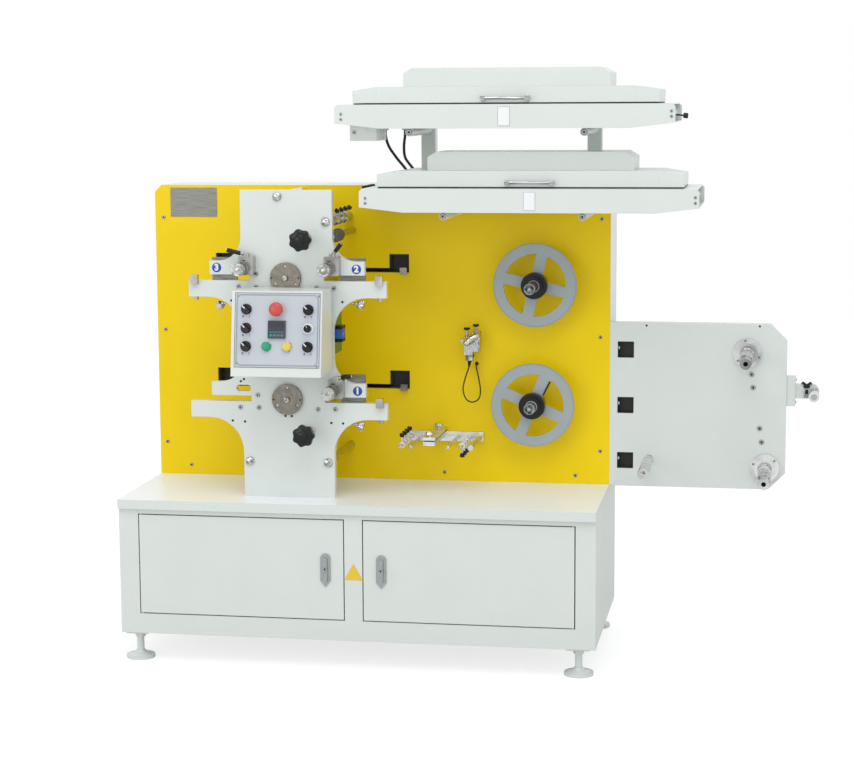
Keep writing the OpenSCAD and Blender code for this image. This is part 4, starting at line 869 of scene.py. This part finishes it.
for k, u in enumerate((111.5, 121.8, 132.2, 142.5)):
    slab(teal if k < 2 else grey, face, box_loop(u - 3.8, 109.5, u + 3.8, 115, 1, 2), 7.4, 8.4)
for u in range(110, 146, 6):
    slab(grey, face, box_loop(u, 126, u + 3, 127.2), 7.5, 7.95)
make_piece("teal_key_strip", teal, teal_keys, 0.2)
make_piece("grey_key_strip", grey, grey_keys, 0.2)


# Rewind reels: sheet discs in satin grey enamel on moulded black hubs, on turned shafts.
reel_enamel = moulded("satin_grey_enamel", "#9aa3a6", "#a4acaf", 0.42, 2.0, 0.02)
coat(reel_enamel, "upper_reel", "lower_reel")
coat(black_abs, "upper_reel_hub", "lower_reel_hub")
coat(turned_steel, "reel_bearings")
for name, x, z, tip in (("upper", 1123, 1036, 210), ("lower", 1117, 695, 260)):
    rim, shaft, length = bmesh.new(), bmesh.new(), 308 - tip
    lathe(rim, front(x, 341, z), [(115.8, 0), (118.4, 0), (118.4, 0.8), (117.6, 1.5),
                                  (116.4, 1.2), (115.8, 0)], 120)
    make_piece(name + "_reel_rim", rim, reel_enamel, body=name + "_reel")
    lathe(shaft, front(x, 308, z),
          [(0, 0), (15.4, 0), (15.4, 5), (14.9, 5.4), (14.9, 6.6), (15.4, 7),
           (15.4, length - 15), (14.8, length - 14.5), (14.8, length - 12.5),
           (15.4, length - 12), (15.4, length - 2), (13.6, length), (4.4, length),
           (2.6, length - 2.4), (0, length - 2.4)], 48)
    make_piece(name + "_reel_shaft", shaft, turned_steel, body=name + "_reel")
# A thin black bar along one spoke of the lower reel is painted shade in a slit
shape = bmesh.new()
slit_line = facing((1147, 341, 724), Vector((20, 0, 39.5)).normalized(),
              Vector((-39.5, 0, 20)).normalized())
slab(shape, slit_line, box_loop(0, -2.4, 44.3, 2.4, 1.5, 3), -0.2, 3)
make_piece("reel_slit_shade", shape, black_abs, 0.5, "lower_reel")


# Web path: anodised aluminium guides on turned rods, with black caps on every thumb screw, and
# the edge sensor's nickel-plated body with its moulded caps and rubber strain relief.
anodised = machined("anodised_aluminium", "#cccfd0", "#eef0ef", 0.34, 1.5, (0.05, 1, 1))
sensor_steel = machined("milled_nickel_plated_brass", "#a7a9a7", "#d3d5d4", 0.27, 2.0, (1, 1, 0.4))
coat(sensor_steel, "web_sensor")
beam, rods, black = bmesh.new(), bmesh.new(), bmesh.new()
GUIDE_Z = 592
lying = facing((746, PANEL_FACE, GUIDE_Z))
slab(beam, lying, box_loop(0, -14, 223, 14, 1, 2), 0, 14)
slider = facing((826, 393, GUIDE_Z))
for v0, v1, back in ((3.5, 14.8, 0), (18, 27, -14)):
    slab(beam, slider, box_loop(0, v0, 34, v1, 1.5, 2), back, 195)
make_piece("guide_beam_and_slider", beam, anodised, 0.8, stands_for="web_guide")
slab(black, slider, box_loop(2, 13.9, 32, 18.3), -14, 192)
slab(black, lying, box_loop(196, -2.6, 217, -0.8), 13.9, 14.2)
for x, diameter, reach in ((761, 11, 200), (791, 10, 200), (896, 10, 200), (931, 11, 190),
                           (959, 17, 195)):
    r = diameter / 2
    lathe(rods, front(x, 394, GUIDE_Z),
          [(0, 0), (r + 2, 0), (r + 2, 6), (r, 6), (r, reach - 3), (r - 2, reach - 1),
           (2, reach - 1), (1.4, reach - 3), (0, reach - 3)], 36)
for k in range(4):
    thumb_collar(rods, black, (761, 225 + 40 * k, GUIDE_Z), 5.5, 9, 0)
for k in range(3):
    thumb_collar(rods, black, (931, 235 + 40 * k, GUIDE_Z), 5.5, 9, 180)
for y in (211, 368):
    lathe(rods, stand((843, y, 618), (0, 0, 1)),
          [(0, 0), (5.5, 0), (5.5, 4), (9, 5), (12, 7), (12, 13.4), (10.8, 15),
           (4, 15.4), (3.4, 14), (0, 14)], 44, 0.06, 11)
make_piece("guide_rods_and_collars", rods, bright_zinc)
make_piece("guide_thumb_caps", black, black_abs)
shape = bmesh.new()
for x, z in ((926, 904), (952, 914)):
    lathe(shape, stand((x, 364, z), (0, 0, 1)),
          [(0, 0), (5, 0), (9, 2.4), (9.4, 6), (8, 8), (0, 8.4)], 36, 0.07, 8.5)
lathe(shape, stand((934, 364, 819), (-2, 0, -18)), [(0, 0), (6.4, 0), (6.4, 4), (5.2, 5),
                                                   (3, 19), (2.4, 19.4), (0, 19.4)], 24)
lathe(shape, front(948, PANEL_FACE, 803),
      [(0, -0.5), (5.4, -0.5), (5.4, 2), (4, 4.5), (0, 4.6)], 24)
make_piece("sensor_caps", shape, black_abs)
caps("sensor_grip", [(934, 364, 829.4)], 12.8, 4.8, 30, (0, 0, 0), black_abs)
shape = bmesh.new()
lathe(shape, stand((957, 352, 893), (-30, -16, -24)),
      [(0, 0), (9.5, 0), (10, 1), (10, 18), (12.4, 19), (12.4, 27), (11, 28), (11, 38),
       (9, 40), (9, 46), (4, 46), (3.6, 43), (0, 43)], 36)
lathe(shape, stand((934, 364, 818), (0, 0, 1)),
      [(0, -0.6), (11, -0.6), (12.4, 0.8), (12.4, 12), (11.4, 13), (0, 13)], 36)
slab(shape, facing((960, 351, 845), (0, 1, 0)), box_loop(0, 0, 26, 44, 3, 3), 0, 3.5)
for x, z in ((926, 884), (952, 901)):
    lathe(shape, stand((x, 364, z), (0, 0, 1)),
          [(0, 0), (6.5, 0), (6.5, 4), (4.6, 5), (4.6, 9), (0, 9)], 24)
make_piece("sensor_barrel", shape, bright_steel)


# Side arm: a cast arm in pale enamel that carries two stepped spindles in screwed flanges, an
# idler, an edge guide, and three pockets lined in dark grey painted shade.
pocket_shade_finish = moulded("painted_pocket_shade", "#333432", "#3d3e3b", 0.6, 2.0)
coat(pale_enamel, "side_arm", "edge_rail")
# The chrome's dark and light rings are painted reflection
spindle_chrome = machined("chromed_spindle", "#7c8183", "#f0f1f1", 0.16, 7.0, (0.02, 1, 0.02))
coat(bright_zinc, "arm_bearings")
coat(spindle_chrome, "upper_spindle", "lower_spindle", "edge_guide")
FLANGE_FACE = 393
shape = bmesh.new()
lathe(shape, front(1443, FLANGE_FACE, 540),
      [(6.8, 0), (9, 0), (9, 24), (13.6, 25), (14.5, 26), (14.5, 242.4), (13, 244),
       (9, 244), (8.4, 242.6), (6.8, 242.6), (6.8, 0)], 48)
make_piece("idler_sleeve", shape, bright_zinc, body="idler_roller",
           stands_for="idler_roller")
# Each spindle's bore is a black disc of painted shade
for name, x, z in (("upper_spindle", 1716, 847), ("lower_spindle", 1769, 520)):
    shape = bmesh.new()
    lathe(shape, front(x, 175.4, z),
          [(0, 0), (6.4, 0), (6.4, 0.5), (0, 0.5)], 28)
    make_piece(name + "_bore", shape, hollow_shade, body=name)
    shape = bmesh.new()
    for low, high, radius in ((146, 149, 15.4), (157, 160, 15.4), (205, 209, 18.4),
                              (236, 239, 18.4), (300, 304, 18.4), (352, 358, 19.6)):
        lathe(shape, front(x, high, z),
              [(12, 0), (radius - 0.6, 0), (radius, 0.6), (radius, high - low - 0.6),
               (radius - 0.6, high - low), (12, high - low), (12, 0)], 48)
    make_piece(name + "_rings", shape, bright_steel, body=name)
shape = bmesh.new()
lathe(shape, front(1443, 153, 540),
      [(0, 0), (8.8, 0), (8.8, 3.2), (5, 3.8), (2.6, 3.8), (2.2, 2), (0, 2)], 32)
make_piece("idler_nose", shape, bright_steel, body="idler_roller")
shape = bmesh.new()
lathe(shape, stand((1881, 377, 737), (0, 0, 1)),
      [(0, 0), (4.6, 0), (4.6, 16), (9.6, 17), (9.6, 24.4), (8.6, 25.4), (0, 25.4)], 28)
for a in (-55, 55):
    turned = radians(a)
    lathe(shape, stand((1881, 377, 759), (sin(turned), 0, cos(turned))),
          [(0, 0), (4.6, 0), (5, 12), (4.4, 15.6), (2.6, 16.6), (0, 16.8)], 24)
make_piece("wing_knob", shape, black_abs)
POCKETS = 850, 691, 532
# The three pockets are lined with dark grey painted shade
shape = bmesh.new()
for z in POCKETS:
    pocket_lining(shape, box_loop(-23, -23, 23, 23, 1.5, 2), (1375, PANEL_FACE, z), 0.2, 32)
make_piece("pocket_shade_shells", shape, pocket_shade_finish)
screws("pocket_bolts", [(1353, 419, z + 4) for z in POCKETS], 4.6, 5,
       TO_RIGHT, 0.3, pale_enamel)
screws("arm_screws", [(x, PANEL_FACE, z) for x, z in (
    (1728, 785), (1733, 748), (1753, 632), (1759, 593))], 7.4, 3.4, socket=0.52)
screws("flange_screws", [(x + 34.5 * cos(radians(a)), FLANGE_FACE, z + 34.5 * sin(radians(a)))
                         for x, z, first in ((1716, 847, 100), (1769, 520, 40))
                         for a in (first, first + 120, first + 240)], 3.4, 2.6)
screws("rail_screws", [(1851, 421, z) for z in (707, 771)], 4, 3, TO_RIGHT, 0.45)
# The arm's holes are black discs of painted shade
shape = bmesh.new()
for x, z in ((1433, 919), (1749, 921)):
    lathe(shape, front(x, 407.2, z), [(3, 0), (3, 0.6), (2.2, 0.5), (0, 0.5)], 16)
make_piece("arm_holes", shape, hollow_shade)


# Dryers: folded trays and lids of pale enamelled sheet with flat lamp housings, polished
# chrome pull handles, bolts through the trays' ends and blank white plates on their fronts.
# The chrome's dark and light streaks are painted reflection
chrome_plate = machined("polished_chrome_plate", "#6e7071", "#d6d8d9", 0.12, 3.0, (0.05, 1, 1))
coat(pale_enamel, "dryer_posts", "terminal_box", "upper_tray", "upper_lid", "upper_lid_ends",
     "upper_lamp_housing", "lower_tray", "lower_lid", "lower_lid_ends", "lower_lamp_housing")
coat(chrome_plate, "upper_handle", "lower_handle")
TRAY_FACE = 65
screws("tray_bolts", [(x, TRAY_FACE, z) for x, z in (
    (630, 1518), (630, 1504), (1515.7, 1523), (1515.7, 1509), (694.6, 1292.6), (694.6, 1279),
    (1580.4, 1296.5), (1580.4, 1281.7))], 4, 2.6, socket=0.5)
screws("carrier_bolts", [(806, 125, 1468), (1281, 125, 1468), (903, 95, 1243), (1280, 95, 1243)],
       8.5, 6, socket=0.45)
terminal = [1000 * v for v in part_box("terminal_box")[0]]
screws("terminal_box_bolt", [(terminal[0] + 970, terminal[1] + MID_Y, 1468)], 5, 4, socket=0.5)
seal_rubber = moulded("black_silicone_seal", "#26282a", "#303234", 0.6, 1.5)
shape = bmesh.new()
for x, z in ((612, 1543), (677, 1318)):
    line_ring(shape, facing((x, 0, z), ACROSS, (0, 1, 0)), box_loop(45, 104.5, 869, 355.5), 5,
              -0.2, 3.4)
make_piece("lid_seals", shape, seal_rubber)
label_ink = moulded("pale_blue_printing_ink", "#a3aecb", "#adb8d4", 0.5, 1.0, 0.005)
white_film = moulded("white_polyester_label", "#e9ebea", "#f0f2f1", 0.45, 2.0, 0.005)
labels, frames = bmesh.new(), bmesh.new()
for x0, z0, x1, z1 in ((1054, 1484, 1090, 1538), (1123, 1259, 1158, 1312)):
    corner, w, h = facing((x0, TRAY_FACE, z0)), x1 - x0, z1 - z0
    slab(labels, corner, box_loop(0, 0, w, h, 1.5, 3), 0, 0.4)
    line_ring(frames, corner, box_loop(1.2, 1.2, w - 1.2, h - 1.2, 1.5, 3), 1.4, 0.3, 0.55)
make_piece("blank_tray_labels", labels, white_film)
make_piece("tray_label_frames", frames, label_ink)
shape = bmesh.new()
lathe(shape, stand((1526, 100, 1513), (1, 0, -0.1)),
      [(0, -1), (2.4, -1), (2.4, 19), (0, 19)], 20)
lathe(shape, stand((1545, 100, 1511), (1, 0, -0.1)),
      [(0, 0), (6.5, 0), (7.2, 1.5), (7.2, 11), (6, 12.6), (0, 12.8)], 36, 0.09, 6.8)
make_piece("tray_end_knob", shape, black_abs)


# Back: two service covers of thin pale sheet with rounded corners, screwed on all round, and
# rows of pressed louvres whose dark mouths are painted shade. The photograph doesn't show this
# side.
louvre, given = new_tree("pressed_louvres", [
    ("Length", "Float"), ("Bulge", "Float"), ("Turn", "Vector"), ("Finish", "Material")])
rib = add(louvre, "GeometryNodeMeshCylinder", values={"Vertices": 14},
          links={"Radius": given["Bulge"], "Depth": given["Length"]})
flat = add(louvre, "GeometryNodeTransform", values={"Scale": (1.9, 0.55, 1)},
           links={"Geometry": rib.outputs["Mesh"]})
close_tree(louvre, given, flat.outputs[0])

back_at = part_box("housing")[1][1] * 1000 + MID_Y
shape, screw_places, rib_places = bmesh.new(), [], []
for x0, z0, x1, z1 in ((60, 520, 1270, 1255), (60, 175, 1270, 415)):
    slab(shape, facing((x1, back_at, z0), (-1, 0, 0)),
         box_loop(0, 0, x1 - x0, z1 - z0, 12, 5), -0.5, 1.6)
    for k in range(6):
        x = x0 + 18 + k * (x1 - x0 - 36) / 5
        screw_places += [(x, back_at + 1.6, z0 + 16), (x, back_at + 1.6, z1 - 16)]
for z in (*range(1060, 1200, 20), *range(240, 350, 20)):
    rib_places += [(x, back_at + 1.8, z) for x in (280, 1050)]
make_piece("back_covers", shape, pale_enamel, 0.6)
screws("back_cover_screws", screw_places, 4.5, 2.2, (-pi / 2, 0, 0), 0.5)
# Each louvre's dark mouth below its rib is painted shade
for name, drop, bulge, finish in (("back_louvres", 0, 4.2, pale_enamel),
                                  ("back_louvre_mouths", 5.4, 2.6, hollow_shade)):
    repeat(name, louvre, [(x, y, z - drop) for x, y, z in rib_places],
           {"Length": 0.14, "Bulge": bulge / 1000, "Turn": TO_RIGHT,
            "Finish": finish})
